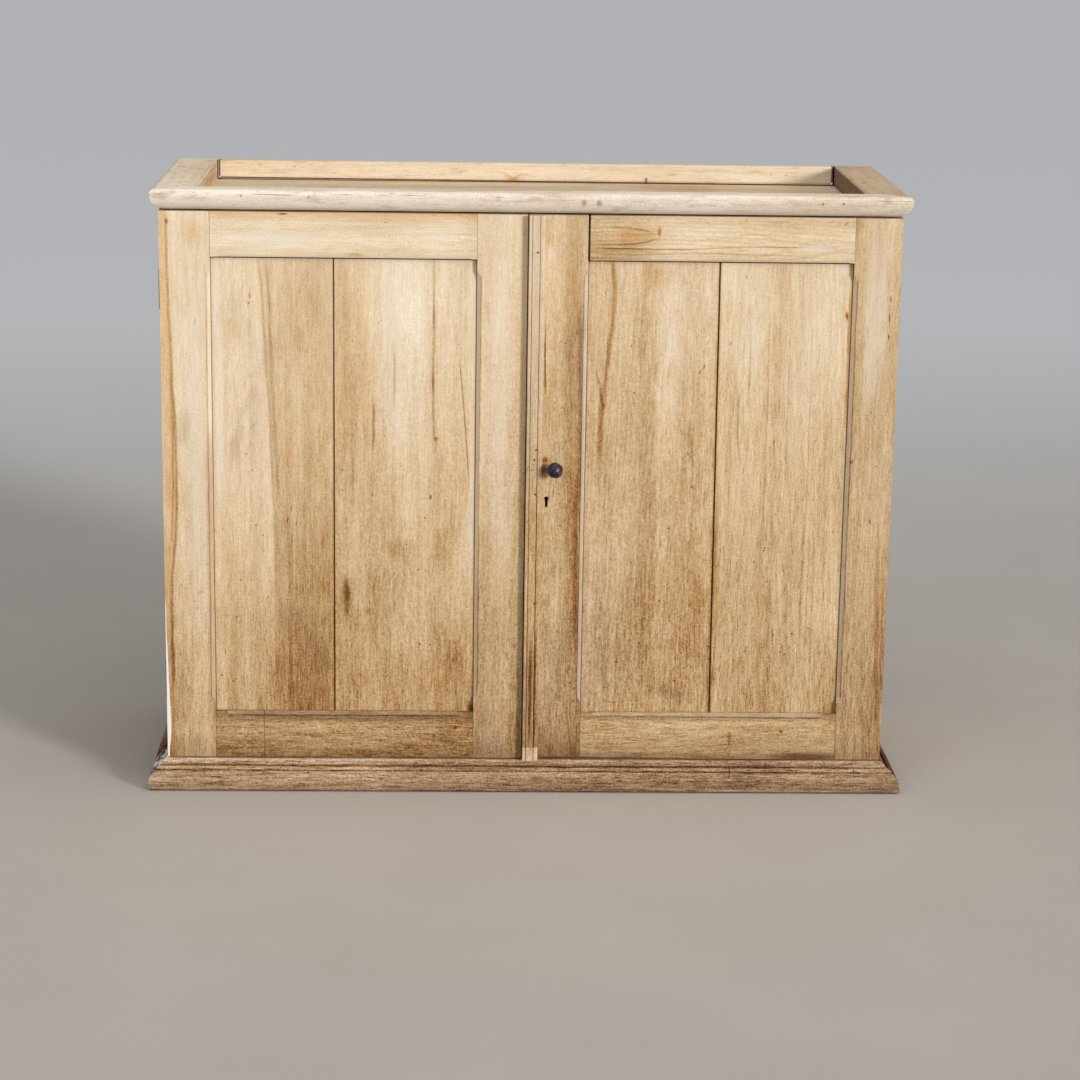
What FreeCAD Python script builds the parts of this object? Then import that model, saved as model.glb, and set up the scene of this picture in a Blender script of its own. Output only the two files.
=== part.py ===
"""Two-door cupboard: framed and panelled doors over a boarded carcass with a moulded base and top rim.

Millimetres, X to the right, Y to the back, Z up. The origin is on the floor, in the middle of the
overall box. The doors lie over the whole front and turn on hinges at the outer back corners.
"""
import FreeCAD, Part
import math
import os
import re
import Sketcher

Vector = FreeCAD.Vector
Rotation = FreeCAD.Rotation
Placement = FreeCAD.Placement

doc = FreeCAD.newDocument("cupboard")
sheet = doc.addObject("Spreadsheet::Sheet", "sizes")


# Driving dimensions, one cell each

SIZES = {
    # carcass
    "case_width": 1200,
    "carcass_depth": 406.5,
    "carcass_height": 923,
    "side_thickness": 20,
    "top_thickness": 18,
    "bottom_thickness": 20,
    "back_thickness": 10,
    "back_rebate": 12,
    "back_board_gap": 1,
    "shelf_thickness": 18,
    "shelf_height": 430,
    "shelf_setback": 40,
    "shelf_clearance": 0.5,
    "batten_width": 20,
    "batten_height": 25,
    # moulded base
    "base_height": 49,
    "base_projection": 31,
    "base_member_width": 75,
    "base_back_thickness": 20,
    "corner_block_leg": 40,
    "corner_block_clearance": 3,
    # rim of the tray on top
    "rim_height": 33,
    "rim_projection": 13,
    "nosing_depth": 44,
    "side_rail_width": 74,
    "back_rail_thickness": 20,
    "back_rail_left_lift": 4.5,
    "back_rail_right_lift": 1.5,
    "back_rail_foot": 12,
    "back_rail_end_gap": 2.75,
    "back_rail_corner_width": 5,
    "back_rail_corner_height": 7,
    "worn_edge": 2.5,
    # doors
    "door_thickness": 22,
    "door_back_gap": 1.5,
    "door_top_gap": 3,
    "door_bottom_gap": 2.5,
    "right_door_planing": 2.5,
    "planing_length": 330,
    "meeting_shift": 4.5,
    "meeting_gap": 2.5,
    "left_stile_width": 81,
    "right_stile_width": 77,
    "right_meeting_width": 96,
    "top_rail_width": 73,
    "bottom_rail_width": 79.5,
    "open_shoulder_gap": 2.5,
    "tenon_length": 45,
    "tenon_edge": 12,
    "mortise_end_play": 1.5,
    # panels
    "panel_recess": 8,
    "panel_thickness": 9,
    "groove_depth": 10,
    "panel_play": 3,
    "left_panel_joint": 199,
    "right_panel_joint": 213.5,
    "right_panel_lean": 4.6,
    "left_panel_crack": 0.4,
    "right_panel_crack": 0.9,
    # stopped chamfers
    "chamfer_leg": 6,
    "chamfer_stop": 19,
    "chamfer_run_radius": 32,
    "top_rail_chamfer_leg": 3,
    "top_rail_chamfer_stop": 7,
    # cover strip
    "strip_width": 25.8,
    "strip_overhang": 0.8,
    "strip_thickness": 12,
    "strip_foot_gap": 1,
    "strip_patch_length": 25,
    # hinges
    "hinge_inset": 130,
    "hinge_length": 65,
    "leaf_width": 18,
    "leaf_thickness": 1.8,
    "barrel_radius": 3,
    "pin_radius": 1.5,
    "pin_outset": 0.4,
    "pin_overhang": 1.5,
    "pin_clearance": 0.05,
    "moving_clearance": 0.3,
    # knob
    "knob_radius": 13,
    "knob_reach": 34,
    "knob_neck_radius": 5,
    "knob_rose_radius": 9,
    "knob_rose_thickness": 3,
    "knob_place": 42,
    "knob_height": 553,
    "knob_shank_radius": 3,
    "nut_side": 12,
    "nut_thickness": 5,
    # keyhole and lock
    "keyhole_place": 29.2,
    "nut_to_lock_gap": 10.5,
    "keyhole_radius": 4,
    "keyhole_slot_width": 4.6,
    "keyhole_slot_drop": 14.5,
    "lock_width": 72,
    "lock_height": 86,
    "lock_thickness": 12,
    "lock_rise": 36,
    "lock_wall": 2,
    "lock_bolt_length": 44,
    "lock_bolt_height": 14,
    "lock_bolt_thickness": 6,
    "lock_bolt_rise": 8,
    "lock_travel": 10,
    "keeper_width": 28,
    "keeper_margin": 9,
    # door bolts
    "plate_length": 100,
    "plate_width": 24,
    "plate_thickness": 2,
    "plate_gap": 6,
    "staple_width": 14,
    "staple_height": 10,
    "staple_inset": 8,
    "staple_wall": 2,
    "rod_radius": 3.5,
    "rod_standoff": 8.5,
    "rod_tip_gap": 2,
    "rod_travel": 14,
    "rod_socket_clearance": 0.5,
    "thumb_radius": 2.5,
    "thumb_reach": 8,
    # every cut runs past the surface by this much
    "overrun": 5,
}

# Places worked out from the sizes, kept in the same sheet as formulas

PLACES = {
    "half_width": "case_width / 2",
    "front_reach": "max(knob_reach; base_projection)",
    "overall_depth": "front_reach + door_thickness + door_back_gap + carcass_depth",
    "case_back": "overall_depth / 2",
    "door_face": "front_reach - overall_depth / 2",
    "door_back": "door_face + door_thickness",
    "carcass_front": "door_back + door_back_gap",
    "carcass_top": "base_height + carcass_height",
    "top_board_under": "carcass_top - top_thickness",
    "bottom_board_top": "base_height + bottom_thickness",
    "inside_half_width": "half_width - side_thickness",
    "back_face": "case_back - back_thickness",
    "shelf_front": "carcass_front + shelf_setback",
    "shelf_under": "base_height + shelf_height",
    "door_top": "carcass_top - door_top_gap",
    "door_bottom": "base_height + door_bottom_gap",
    "left_door_edge": "-meeting_shift - meeting_gap",
    "right_door_edge": "-meeting_shift",
    "left_opening_left": "left_stile_width - half_width",
    "left_opening_right": "left_door_edge - left_stile_width",
    "right_opening_left": "right_door_edge + right_meeting_width",
    "right_opening_right": "half_width - right_stile_width",
    "opening_top": "door_top - top_rail_width",
    "opening_bottom": "door_bottom + bottom_rail_width",
    "planing_end": "right_door_edge + planing_length",
    "upper_hinge": "door_top - hinge_inset",
    "lower_hinge": "door_bottom + hinge_inset",
    "pin_line": "door_back + door_back_gap / 2",
    "pin_side": "half_width + pin_outset",
    "tip_side": "half_width + rim_projection",
    "tip_front": "door_face - rim_projection",
    "rail_inner_side": "tip_side - side_rail_width",
    "base_side": "half_width + base_projection",
    "base_front": "door_face - base_projection",
    "base_inner_side": "base_side - base_member_width",
    "strip_left": "right_door_edge - strip_overhang",
    "strip_bottom": "base_height + strip_foot_gap",
    "keyhole_height": "knob_height - nut_side / 2 - nut_to_lock_gap - lock_rise",
    "lock_bottom": "keyhole_height + lock_rise - lock_height",
    "lock_bolt_bottom": "keyhole_height + lock_bolt_rise",
    "bolt_place": "(left_opening_right + left_door_edge) / 2",
    "rod_line": "door_back + rod_standoff",
    "rod_length": "plate_length + plate_gap - rod_tip_gap",
    "bolt_low": "lock_thickness / 2 - lock_bolt_thickness / 2",
    "bolt_high": "lock_thickness / 2 + lock_bolt_thickness / 2",
    "keeper_height": "lock_bolt_height + 2 * keeper_margin",
    "keeper_bottom": "lock_bolt_bottom - keeper_margin",
    "knob_neck_end": "knob_radius - knob_reach + sqrt(knob_radius * knob_radius"
                     " - knob_neck_radius * knob_neck_radius)",
}


def fill_sheet():
    """One row for each size, a plain number, then one for each place, a formula."""
    for row, (name, value) in enumerate(SIZES.items(), start=1):
        sheet.set(f"A{row}", name)
        sheet.set(f"B{row}", str(value))
        sheet.setAlias(f"B{row}", name)
    for row, (name, formula) in enumerate(PLACES.items(), start=len(SIZES) + 1):
        sheet.set(f"A{row}", name)
        sheet.set(f"B{row}", "=" + formula)
        sheet.setAlias(f"B{row}", name)
    doc.recompute()


fill_sheet()
NAMES = re.compile(r"\b(" + "|".join(sorted([*SIZES, *PLACES], key=len, reverse=True)) + r")\b")


# Small helpers: expressions, outlines, prisms, holes

def linked(text):
    """The same sum, with every size named as a cell of the sheet."""
    return NAMES.sub(lambda match: "sizes." + match.group(1), str(text))


def number(text):
    """What a sum of sizes comes to, in millimetres."""
    value = sheet.evalExpression(str(text))
    return float(getattr(value, "Value", value))


def bind(thing, **sums):
    """Ties properties of a document object to sums of sizes."""
    for name, text in sums.items():
        thing.setExpression(name, linked(text))


def place(thing, x, y, z):
    """Ties where an object stands to sums of sizes."""
    for axis, text in zip("xyz", (x, y, z)):
        thing.setExpression(f"Placement.Base.{axis}", linked(text))


def new_body(label, x="0", y="0", z="0", turn_about_y=0):
    """An empty body, turned about its Y axis and standing at a corner given in sizes."""
    body = doc.addObject("PartDesign::Body", label)
    body.Label = label
    body.Placement = Placement(Vector(), Rotation(Vector(0, 1, 0), turn_about_y))
    place(body, x, y, z)
    return body


def origin_plane(body, role):
    return next(plane for plane in body.Origin.OriginFeatures if plane.Role == role)


def new_sketch(body, name, plane, level="0"):
    """A sketch on one of the body's own planes, moved off it to a level along the model's axis."""
    sketch = body.newObject("Sketcher::SketchObject", name)
    sketch.AttachmentSupport = (origin_plane(body, plane), [""])
    sketch.MapMode = "FlatFace"
    sign = "-1" if plane == "XZ_Plane" else "1"
    sketch.setExpression("AttachmentOffset.Base.z", linked(f"{sign} * ({level})"))
    return sketch


QUARTER_TURN = math.tan(math.pi / 8)


def arc_through(start, end, bulge):
    """The arc between two points whose turn is four times the angle with this tangent."""
    chord = end - start
    middle = (start + end) / 2
    side = Vector(chord.y, -chord.x, 0) * (bulge / 2)
    return Part.Arc(start, middle + side, end)


def draw(sketch, outline):
    """A closed outline. Each corner is (across, up), or (across, up, bulge) after an arc.

    Every corner is tied to the sheet by its two distances from the origin, and every arc by its
    radius, which is its chord times a share that only its turn sets.
    """
    points = [Vector(number(corner[0]), number(corner[1]), 0) for corner in outline]
    count = len(outline)
    pieces, ends, rules, sums = [], [], [], []
    for index, corner in enumerate(outline):
        start, end = points[index - 1], points[index]
        if len(corner) == 3:
            pieces.append(arc_through(start, end, corner[2]))
            ends.append((1, 2) if corner[2] > 0 else (2, 1))
        else:
            pieces.append(Part.LineSegment(start, end))
            ends.append((1, 2))
    sketch.addGeometry(pieces, False)
    for index, corner in enumerate(outline):
        after = (index + 1) % count
        rules.append(Sketcher.Constraint("Coincident", index, ends[index][1], after, ends[after][0]))
        sums.append(None)
        for kind, text, value in (("DistanceX", corner[0], points[index].x),
                                  ("DistanceY", corner[1], points[index].y)):
            rules.append(Sketcher.Constraint(kind, -1, 1, index, ends[index][1], value))
            sums.append(text)
        if len(corner) == 3:
            before = outline[index - 1]
            share = (1 + corner[2] ** 2) / (4 * abs(corner[2]))
            chord = f"sqrt(pow(({corner[0]}) - ({before[0]}); 2) + pow(({corner[1]}) - ({before[1]}); 2))"
            rules.append(Sketcher.Constraint("Radius", index, number(f"{chord} * {share}")))
            sums.append(f"{chord} * {share}")
    sketch.addConstraint(rules)
    for index, text in enumerate(sums):
        if text is not None:
            sketch.setExpression(f"Constraints[{index}]", linked(text))


def draw_circles(sketch, centres, radius):
    """Circles of one radius at places given in sizes."""
    for index, (across, up) in enumerate(centres):
        centre = Vector(number(across), number(up), 0)
        sketch.addGeometry(Part.Circle(centre, Vector(0, 0, 1), number(radius)), False)
        rules = [
            Sketcher.Constraint("DistanceX", -1, 1, index, 3, centre.x),
            Sketcher.Constraint("DistanceY", -1, 1, index, 3, centre.y),
            Sketcher.Constraint("Radius", index, number(radius)),
        ]
        first = sketch.ConstraintCount
        sketch.addConstraint(rules)
        for step, text in enumerate((across, up, radius)):
            sketch.setExpression(f"Constraints[{first + step}]", linked(text))


def sweep(body, name, plane, sketch, start, end, cut):
    """Adds or cuts the sketch's outline from one level to a higher one."""
    feature = body.newObject("PartDesign::Pocket" if cut else "PartDesign::Pad", name)
    feature.Profile = sketch
    bind(feature, Length=f"({end}) - ({start})")
    feature.Reversed = cut != (plane == "XZ_Plane")
    return feature


def add(body, name, plane, outline, start, end):
    """A prism of an outline, added to the body."""
    sketch = new_sketch(body, name + "_outline", plane, start)
    draw(sketch, outline)
    return sweep(body, name, plane, sketch, start, end, False)


def cut(body, name, plane, outline, start, end):
    """A prism of an outline, cut out of the body."""
    sketch = new_sketch(body, name + "_outline", plane, start)
    draw(sketch, outline)
    return sweep(body, name, plane, sketch, start, end, True)


def drill(body, name, plane, centres, radius, start, end):
    """Round holes side by side, cut from one level to a higher one."""
    sketch = new_sketch(body, name + "_outline", plane, start)
    draw_circles(sketch, centres, radius)
    return sweep(body, name, plane, sketch, start, end, True)


def rectangle(left, low, right, high):
    """The four corners of an upright rectangle."""
    return [(left, low), (right, low), (right, high), (left, high)]


def board(label, x0, x1, y0, y1, z0, z1):
    """A plain rectangular board between six planes."""
    block = doc.addObject("Part::Box", label)
    block.Label = label
    bind(block, Length=f"({x1}) - ({x0})", Width=f"({y1}) - ({y0})", Height=f"({z1}) - ({z0})")
    place(block, x0, y0, z0)
    return block


def group(label, solids):
    """Like pieces kept in one node as separate solids."""
    node = doc.addObject("Part::Feature", label)
    node.Label = label
    node.Shape = Part.makeCompound(solids)
    node.Placement = Placement()
    return node


def times(side, text):
    """A sum of sizes on the left (-1) or right (1) half of the cupboard."""
    return f"{side} * ({text})"


# Carcass

def side_board(label, side):
    """A side with a rebate for the back and two hinge gains in its front edge."""
    body = new_body(label, times(side, "half_width"), "carcass_front", "base_height")
    inward = -side
    depth = "carcass_depth"
    height = "carcass_height - top_thickness"
    add(body, "board", "XY_Plane",
        rectangle("0", "0", times(inward, "side_thickness"), depth), "0", height)
    cut(body, "back_rebate_cut", "XY_Plane",
        rectangle(times(inward, "side_thickness - back_rebate"), f"{depth} - back_thickness",
                  times(inward, "side_thickness + overrun"), f"{depth} + overrun"),
        "-overrun", f"{height} + overrun")
    for name, middle in (("lower", "lower_hinge"), ("upper", "upper_hinge")):
        low = f"{middle} - base_height - hinge_length / 2"
        high = f"{middle} - base_height + hinge_length / 2"
        cut(body, name + "_leaf_gain", "XY_Plane",
            rectangle(times(side, "overrun"), "-overrun", times(inward, "leaf_width"), "leaf_thickness"),
            low, high)
        drill(body, name + "_barrel_gain", "XY_Plane",
              [(times(side, "pin_outset"), "-door_back_gap / 2")],
              "barrel_radius + moving_clearance",
              f"{low} - pin_overhang - moving_clearance", f"{high} + pin_overhang + moving_clearance")
    return body


def back_boards(count=4):
    """Upright boards side by side in the rebates, with a small gap between neighbours."""
    inner = "(inside_half_width + back_rebate)"
    pitch = f"(2 * {inner} + back_board_gap) / {count}"
    boards = []
    for index in range(count):
        left = f"{index} * {pitch} - {inner}"
        boards.append(board(f"back_board_{index + 1}", left, f"{left} + {pitch} - back_board_gap",
                            "back_face", "case_back", "base_height", "top_board_under"))
    return boards


def top_board():
    """The tray's floor, with a socket under its front edge for the upper bolt."""
    body = new_body("top_board", "0", "carcass_front", "top_board_under")
    add(body, "board", "XY_Plane",
        rectangle("-half_width", "0", "half_width", "carcass_depth"), "0", "top_thickness")
    drill(body, "bolt_socket", "XY_Plane", [("bolt_place", "rod_line - carcass_front")],
          "rod_radius + rod_socket_clearance", "-overrun", "rod_travel - rod_tip_gap + rod_socket_clearance")
    return body


def bottom_board():
    """The floor of the cupboard, with a socket for the lower bolt."""
    body = new_body("bottom_board", "0", "carcass_front", "base_height")
    add(body, "board", "XY_Plane",
        rectangle("-inside_half_width", "0", "inside_half_width", "carcass_depth - back_thickness"),
        "0", "bottom_thickness")
    drill(body, "bolt_socket", "XY_Plane", [("bolt_place", "rod_line - carcass_front")],
          "rod_radius + rod_socket_clearance",
          "bottom_thickness - rod_travel + rod_tip_gap - rod_socket_clearance",
          "bottom_thickness + overrun")
    return body


def carcass():
    parts = [side_board("left_side", -1), side_board("right_side", 1), top_board(), bottom_board()]
    parts += back_boards()
    parts.append(board("shelf", "shelf_clearance - inside_half_width",
                       "inside_half_width - shelf_clearance", "shelf_front", "back_face",
                       "shelf_under", "shelf_under + shelf_thickness"))
    parts.append(board("left_shelf_batten", "-inside_half_width", "batten_width - inside_half_width",
                       "shelf_front + batten_width", "back_face",
                       "shelf_under - batten_height", "shelf_under"))
    parts.append(board("right_shelf_batten", "inside_half_width - batten_width", "inside_half_width",
                       "shelf_front + batten_width", "back_face",
                       "shelf_under - batten_height", "shelf_under"))
    return parts


# Moulded base. Shares of the projection and of the height, then the bulge of the arc that ends there

BASE_PROFILE_SHARES = [
    (0.81, 0.00),
    (1.00, 0.135, 0.39),
    (1.00, 0.27),
    (0.86, 0.55, 0.12),
    (0.61, 0.70),
    (0.58, 0.74),
    (0.40, 0.83, 0.22),
    (0.37, 0.81),
    (0.29, 0.87, 0.20),
    (0.10, 1.00, 0.16),
]


def profile(shares, projection, height, side):
    """Moulding corners set out from a wall line towards one side, from the bottom up."""
    corners = []
    for across, up, *bulge in shares:
        corner = (f"{side} * {across} * {projection}", f"{up} * {height}")
        corners.append(corner + tuple(side * value for value in bulge))
    return corners


def base_outline(side):
    """The section of a base member: flat inside, moulded outside."""
    back = f"{side} * (base_projection - base_member_width)"
    return [(back, "0"), *profile(BASE_PROFILE_SHARES, "base_projection", "base_height", side),
            (back, "base_height")]


def base_front():
    body = new_body("base_front_moulding", "0", "door_face", "0")
    add(body, "moulding", "YZ_Plane", base_outline(-1), "-base_side", "base_side")
    for side, name in ((-1, "left_mitre"), (1, "right_mitre")):
        tip = f"{side} * (base_side + overrun)"
        root = f"{side} * (base_inner_side - overrun)"
        deep = "base_member_width - base_projection + overrun"
        cut(body, name, "XY_Plane", [(tip, "-base_projection - overrun"), (tip, deep), (root, deep)],
            "-overrun", "base_height + overrun")
    return body


def base_side(label, side):
    body = new_body(label, times(side, "half_width"), "base_front", "0")
    add(body, "moulding", "XZ_Plane", base_outline(side), "0", "case_back - base_front")
    tip = f"{side} * (base_projection + overrun)"
    root = f"{side} * (base_projection - base_member_width - overrun)"
    cut(body, "mitre", "XY_Plane",
        [(tip, "-overrun"), (root, "-overrun"), (root, "base_member_width + overrun")],
        "-overrun", "base_height + overrun")
    return body


def corner_blocks():
    """Two glue blocks in the front corners of the base, as triangular prisms."""
    corner_y = number("base_front + base_member_width")
    leg = number("corner_block_leg")
    low = number("corner_block_clearance")
    high = number("base_height - corner_block_clearance")
    blocks = []
    for side in (-1, 1):
        x = side * number("base_inner_side")
        corners = [Vector(x, corner_y, low), Vector(x - side * leg, corner_y, low),
                   Vector(x, corner_y + leg, low)]
        face = Part.Face(Part.makePolygon([*corners, corners[0]]))
        blocks.append(face.extrude(Vector(0, 0, high - low)))
    return group("base_corner_blocks", blocks)


def base():
    return [
        base_front(),
        base_side("base_left_moulding", -1),
        base_side("base_right_moulding", 1),
        board("base_back_rail", "-base_inner_side", "base_inner_side",
              "case_back - base_back_thickness", "case_back", "0", "base_height"),
        corner_blocks(),
    ]


# Rim of the tray. Shares of the projection and of the height, bottom edge first

RIM_PROFILE_SHARES = [
    (-0.38, 0.00),
    (-0.12, 0.06),
    (0.89, 0.52, 0.22),
    (1.00, 0.74, 0.07),
    (0.35, 1.00, 0.41),
]


def rim_outline(side, width):
    """The section of a rim member: moulded outside, flat top, small round on the inner edge."""
    back = f"{side} * (rim_projection - {width})"
    near = f"{side} * (rim_projection - {width} + worn_edge)"
    return [(back, "0"), *profile(RIM_PROFILE_SHARES, "rim_projection", "rim_height", side),
            (near, "rim_height"), (back, "rim_height - worn_edge", side * QUARTER_TURN)]


def rim_front():
    """The front nosing, mitred for the moulding's width at both ends."""
    body = new_body("top_front_nosing", "0", "door_face", "carcass_top")
    add(body, "moulding", "YZ_Plane", rim_outline(-1, "nosing_depth"), "-tip_side", "tip_side")
    for side, name in ((-1, "left_mitre"), (1, "right_mitre")):
        tip = f"{side} * (tip_side + overrun)"
        root = f"{side} * (tip_side - nosing_depth - overrun)"
        deep = "nosing_depth - rim_projection + overrun"
        cut(body, name, "XY_Plane", [(tip, "-rim_projection - overrun"), (tip, deep), (root, deep)],
            "-overrun", "rim_height + overrun")
    return body


def rim_side(label, side):
    """A wide side rail: mitred as far as the nosing goes, then square behind it."""
    body = new_body(label, times(side, "half_width"), "tip_front", "carcass_top")
    add(body, "moulding", "XZ_Plane", rim_outline(side, "side_rail_width"), "0", "case_back - tip_front")
    inner = f"{side} * (rim_projection - side_rail_width - overrun)"
    cut(body, "mitre", "XY_Plane",
        [(f"{side} * (rim_projection + overrun)", "-overrun"), (inner, "-overrun"),
         (inner, "nosing_depth"), (f"{side} * (rim_projection - nosing_depth)", "nosing_depth")],
        "-overrun", "rim_height + overrun")
    return body


def rim_back():
    """The loose fitting back rail: it sits on its rear half, and its front stands off the top board."""
    half = "rail_inner_side - back_rail_end_gap"
    body = new_body("top_back_rail", "0", "case_back - back_rail_thickness", "carcass_top")
    relief = "back_rail_thickness - back_rail_foot"
    add(body, "rail", "YZ_Plane",
        [("0", "0"), ("back_rail_thickness", "0"), ("back_rail_thickness", "rim_height - worn_edge"),
         ("back_rail_thickness - worn_edge", "rim_height", QUARTER_TURN), ("worn_edge", "rim_height"),
         ("0", "rim_height - worn_edge", QUARTER_TURN)],
        f"-({half})", half)
    cut(body, "lift", "XZ_Plane",
        [(f"-({half})", "-overrun"), (half, "-overrun"), (half, "back_rail_right_lift"),
         (f"-({half})", "back_rail_left_lift")],
        "-overrun", relief)
    for side, name in ((-1, "left_corner"), (1, "right_corner")):
        outer = f"{side} * ({half} + overrun)"
        edge = f"{side} * ({half})"
        inner = f"{side} * ({half} - back_rail_corner_width)"
        cut(body, name, "XZ_Plane",
            [(outer, "-overrun"), (inner, "-overrun"), (inner, "0"),
             (edge, "back_rail_corner_height"), (outer, "back_rail_corner_height")],
            "-overrun", "back_rail_thickness + overrun")
    return body


def rim():
    return [rim_front(), rim_side("top_left_rail", -1), rim_side("top_right_rail", 1), rim_back()]


# Doors. A frame member lies along its own X, its front is at y = 0, its grooved inner edge at z = 0

def panel_groove(body, start, end):
    """The groove in the inner edge that holds the panel."""
    cut(body, "panel_groove", "XZ_Plane", rectangle(start, "-overrun", end, "groove_depth"),
        "panel_recess", "panel_recess + panel_thickness")


# A chamfer's leg, and the plain wood that is left at each end of it
WIDE_CHAMFER = ("chamfer_leg", "chamfer_stop")
NARROW_CHAMFER = ("top_rail_chamfer_leg", "top_rail_chamfer_stop")


def stopped_chamfer(body, start, end, chamfer=WIDE_CHAMFER):
    """A chamfer on the front arris of the inner edge that runs out in a curve before both ends.

    The outline is drawn across the arris, on a plane turned by half a right angle: it dips into
    the wood on an arc, runs at one depth and comes out on the same arc. Each arc leaves the bottom
    along it, so its chord rises at half the arc's turn.
    """
    leg, stop = chamfer
    depth = f"({leg} / sqrt(2))"
    run = f"sqrt(2 * chamfer_run_radius * {depth} - {depth} * {depth})"
    bulge = -math.tan(math.atan2(number(depth), number(run)) / 2)
    sketch = new_sketch(body, "chamfer_outline", "XZ_Plane")
    sketch.AttachmentOffset = Placement(Vector(), Rotation(Vector(1, 0, 0), -45))
    low = f"({start}) + {stop}"
    high = f"({end}) - {stop}"
    draw(sketch, [(high, "-overrun"), (low, "-overrun"), (low, "0"), (f"{low} + {run}", depth, bulge),
                  (f"{high} - {run}", depth), (high, "0", bulge)])
    pocket = body.newObject("PartDesign::Pocket", "stopped_chamfer")
    pocket.Profile = sketch
    pocket.SideType = "Symmetric"
    bind(pocket, Length=f"2 * {leg}")


def stile(label, length, width, x, z, turn, first_rail, last_rail):
    """An upright member with a mortise for each rail and the groove between them."""
    body = new_body(label, x, "door_face", z, turn)
    add(body, "stick", "XY_Plane", rectangle("0", "0", length, "door_thickness"), "0", width)
    panel_groove(body, f"{first_rail} - groove_depth", f"{length} - {last_rail} + groove_depth")
    for name, low, high in (
            ("first_mortise", "tenon_edge", f"{first_rail} - groove_depth"),
            ("last_mortise", f"{length} - {last_rail} + groove_depth", f"{length} - tenon_edge")):
        cut(body, name, "XZ_Plane", rectangle(low, "-overrun", high, "tenon_length + mortise_end_play"),
            "panel_recess", "panel_recess + panel_thickness")
    stopped_chamfer(body, first_rail, f"{length} - {last_rail}")
    return body


def rail(label, length, width, x, z, turn, chamfer=WIDE_CHAMFER, first_shoulder="0"):
    """A level member with a tenon at each end, grooved and chamfered between its shoulders."""
    body = new_body(label, x, "door_face", z, turn)
    add(body, "stick", "XY_Plane", rectangle(first_shoulder, "0", length, "door_thickness"), "0", width)
    add(body, "tenons", "YZ_Plane",
        rectangle("panel_recess", "groove_depth", "panel_recess + panel_thickness", f"{width} - tenon_edge"),
        "-tenon_length", f"{length} + tenon_length")
    panel_groove(body, "-overrun", f"{length} + overrun")
    stopped_chamfer(body, "0", length, chamfer)
    return body


def hinge_gains(body, width, middles):
    """Recesses in a hinge stile's back for two door leaves and their barrels."""
    for name, middle in zip(("first", "second"), middles):
        low = f"{middle} - hinge_length / 2"
        high = f"{middle} + hinge_length / 2"
        cut(body, name + "_leaf_gain", "XZ_Plane",
            rectangle(low, f"{width} - leaf_width", high, f"{width} + overrun"),
            "door_thickness - leaf_thickness", "door_thickness + overrun")
        drill(body, name + "_barrel_gain", "YZ_Plane",
              [("door_thickness + door_back_gap / 2", f"{width} + pin_outset")],
              "barrel_radius + moving_clearance",
              f"{low} - pin_overhang - moving_clearance", f"{high} + pin_overhang + moving_clearance")


def panel_board(label, left, top_joint, bottom_joint, right, low):
    """One board of a panel: straight in its grooves, with its joint edge free to lean."""
    body = new_body(label, "0", "door_face", "0")
    bottom = f"{low} - groove_depth + panel_play"
    top = "opening_top + groove_depth - panel_play"
    if left is None:
        corners = [(bottom_joint, bottom), (right, bottom), (right, top), (top_joint, top)]
    else:
        corners = [(left, bottom), (bottom_joint, bottom), (top_joint, top), (left, top)]
    add(body, "board", "XZ_Plane", corners, "panel_recess", "panel_recess + panel_thickness")
    return body


def left_door():
    """The left door: its frame, its panel of two boards, and the iron on its back."""
    height = "(door_top - door_bottom)"
    hinge = stile("left_door_hinge_stile", height, "left_stile_width", "left_opening_left",
                  "door_bottom", -90, "bottom_rail_width", "top_rail_width")
    hinge_gains(hinge, "left_stile_width", ("lower_hinge - door_bottom", "upper_hinge - door_bottom"))
    meeting = stile("left_door_meeting_stile", height, "left_stile_width", "left_opening_right",
                    "door_top", 90, "top_rail_width", "bottom_rail_width")
    span = "(left_opening_right - left_opening_left)"
    top = rail("left_door_top_rail", span, "top_rail_width", "left_opening_left", "opening_top", 0,
               NARROW_CHAMFER)
    bottom = rail("left_door_bottom_rail", span, "bottom_rail_width", "left_opening_right",
                  "opening_bottom", 180)
    joint = "left_opening_left + left_panel_joint"
    edge = "groove_depth - panel_play"
    outer = panel_board("left_door_outer_panel", f"left_opening_left - ({edge})",
                        f"{joint} - left_panel_crack / 2", f"{joint} - left_panel_crack / 2", None,
                        "opening_bottom")
    inner = panel_board("left_door_inner_panel", None, f"{joint} + left_panel_crack / 2",
                        f"{joint} + left_panel_crack / 2", f"left_opening_right + {edge}",
                        "opening_bottom")
    return [hinge, meeting, top, bottom, outer, inner]


def keyhole(body, centre, slot, depth):
    """A round hole with a slot below it."""
    drill(body, "keyhole_round", "XZ_Plane", [centre], "keyhole_radius", "-overrun", depth)
    cut(body, "keyhole_slot", "XZ_Plane", slot, "-overrun", depth)


def bore_for_knob_and_key(stick):
    """Holes in the right meeting stile, which stands on its first end with its outer edge leftmost."""
    def at(x, z):
        return (f"({z}) - door_bottom", f"right_opening_left - ({x})")

    along, across = at("keyhole_place", "keyhole_height")
    keyhole(stick, (along, across),
            rectangle(f"{along} - keyhole_slot_drop", f"{across} - keyhole_slot_width / 2",
                      along, f"{across} + keyhole_slot_width / 2"),
            "door_thickness + overrun")
    drill(stick, "knob_hole", "XZ_Plane", [at("knob_place", "knob_height")],
          "knob_shank_radius + moving_clearance", "-overrun", "door_thickness + overrun")


def planed_wedge(left, right):
    """What was planed off the right door's foot between two places, as (x, height above the foot)."""
    slope = "right_door_planing / planing_length"
    return [(left, "-overrun"), (right, "-overrun"), (right, f"{slope} * (planing_end - ({right}))"),
            (left, f"{slope} * (planing_end - ({left}))")]


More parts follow.
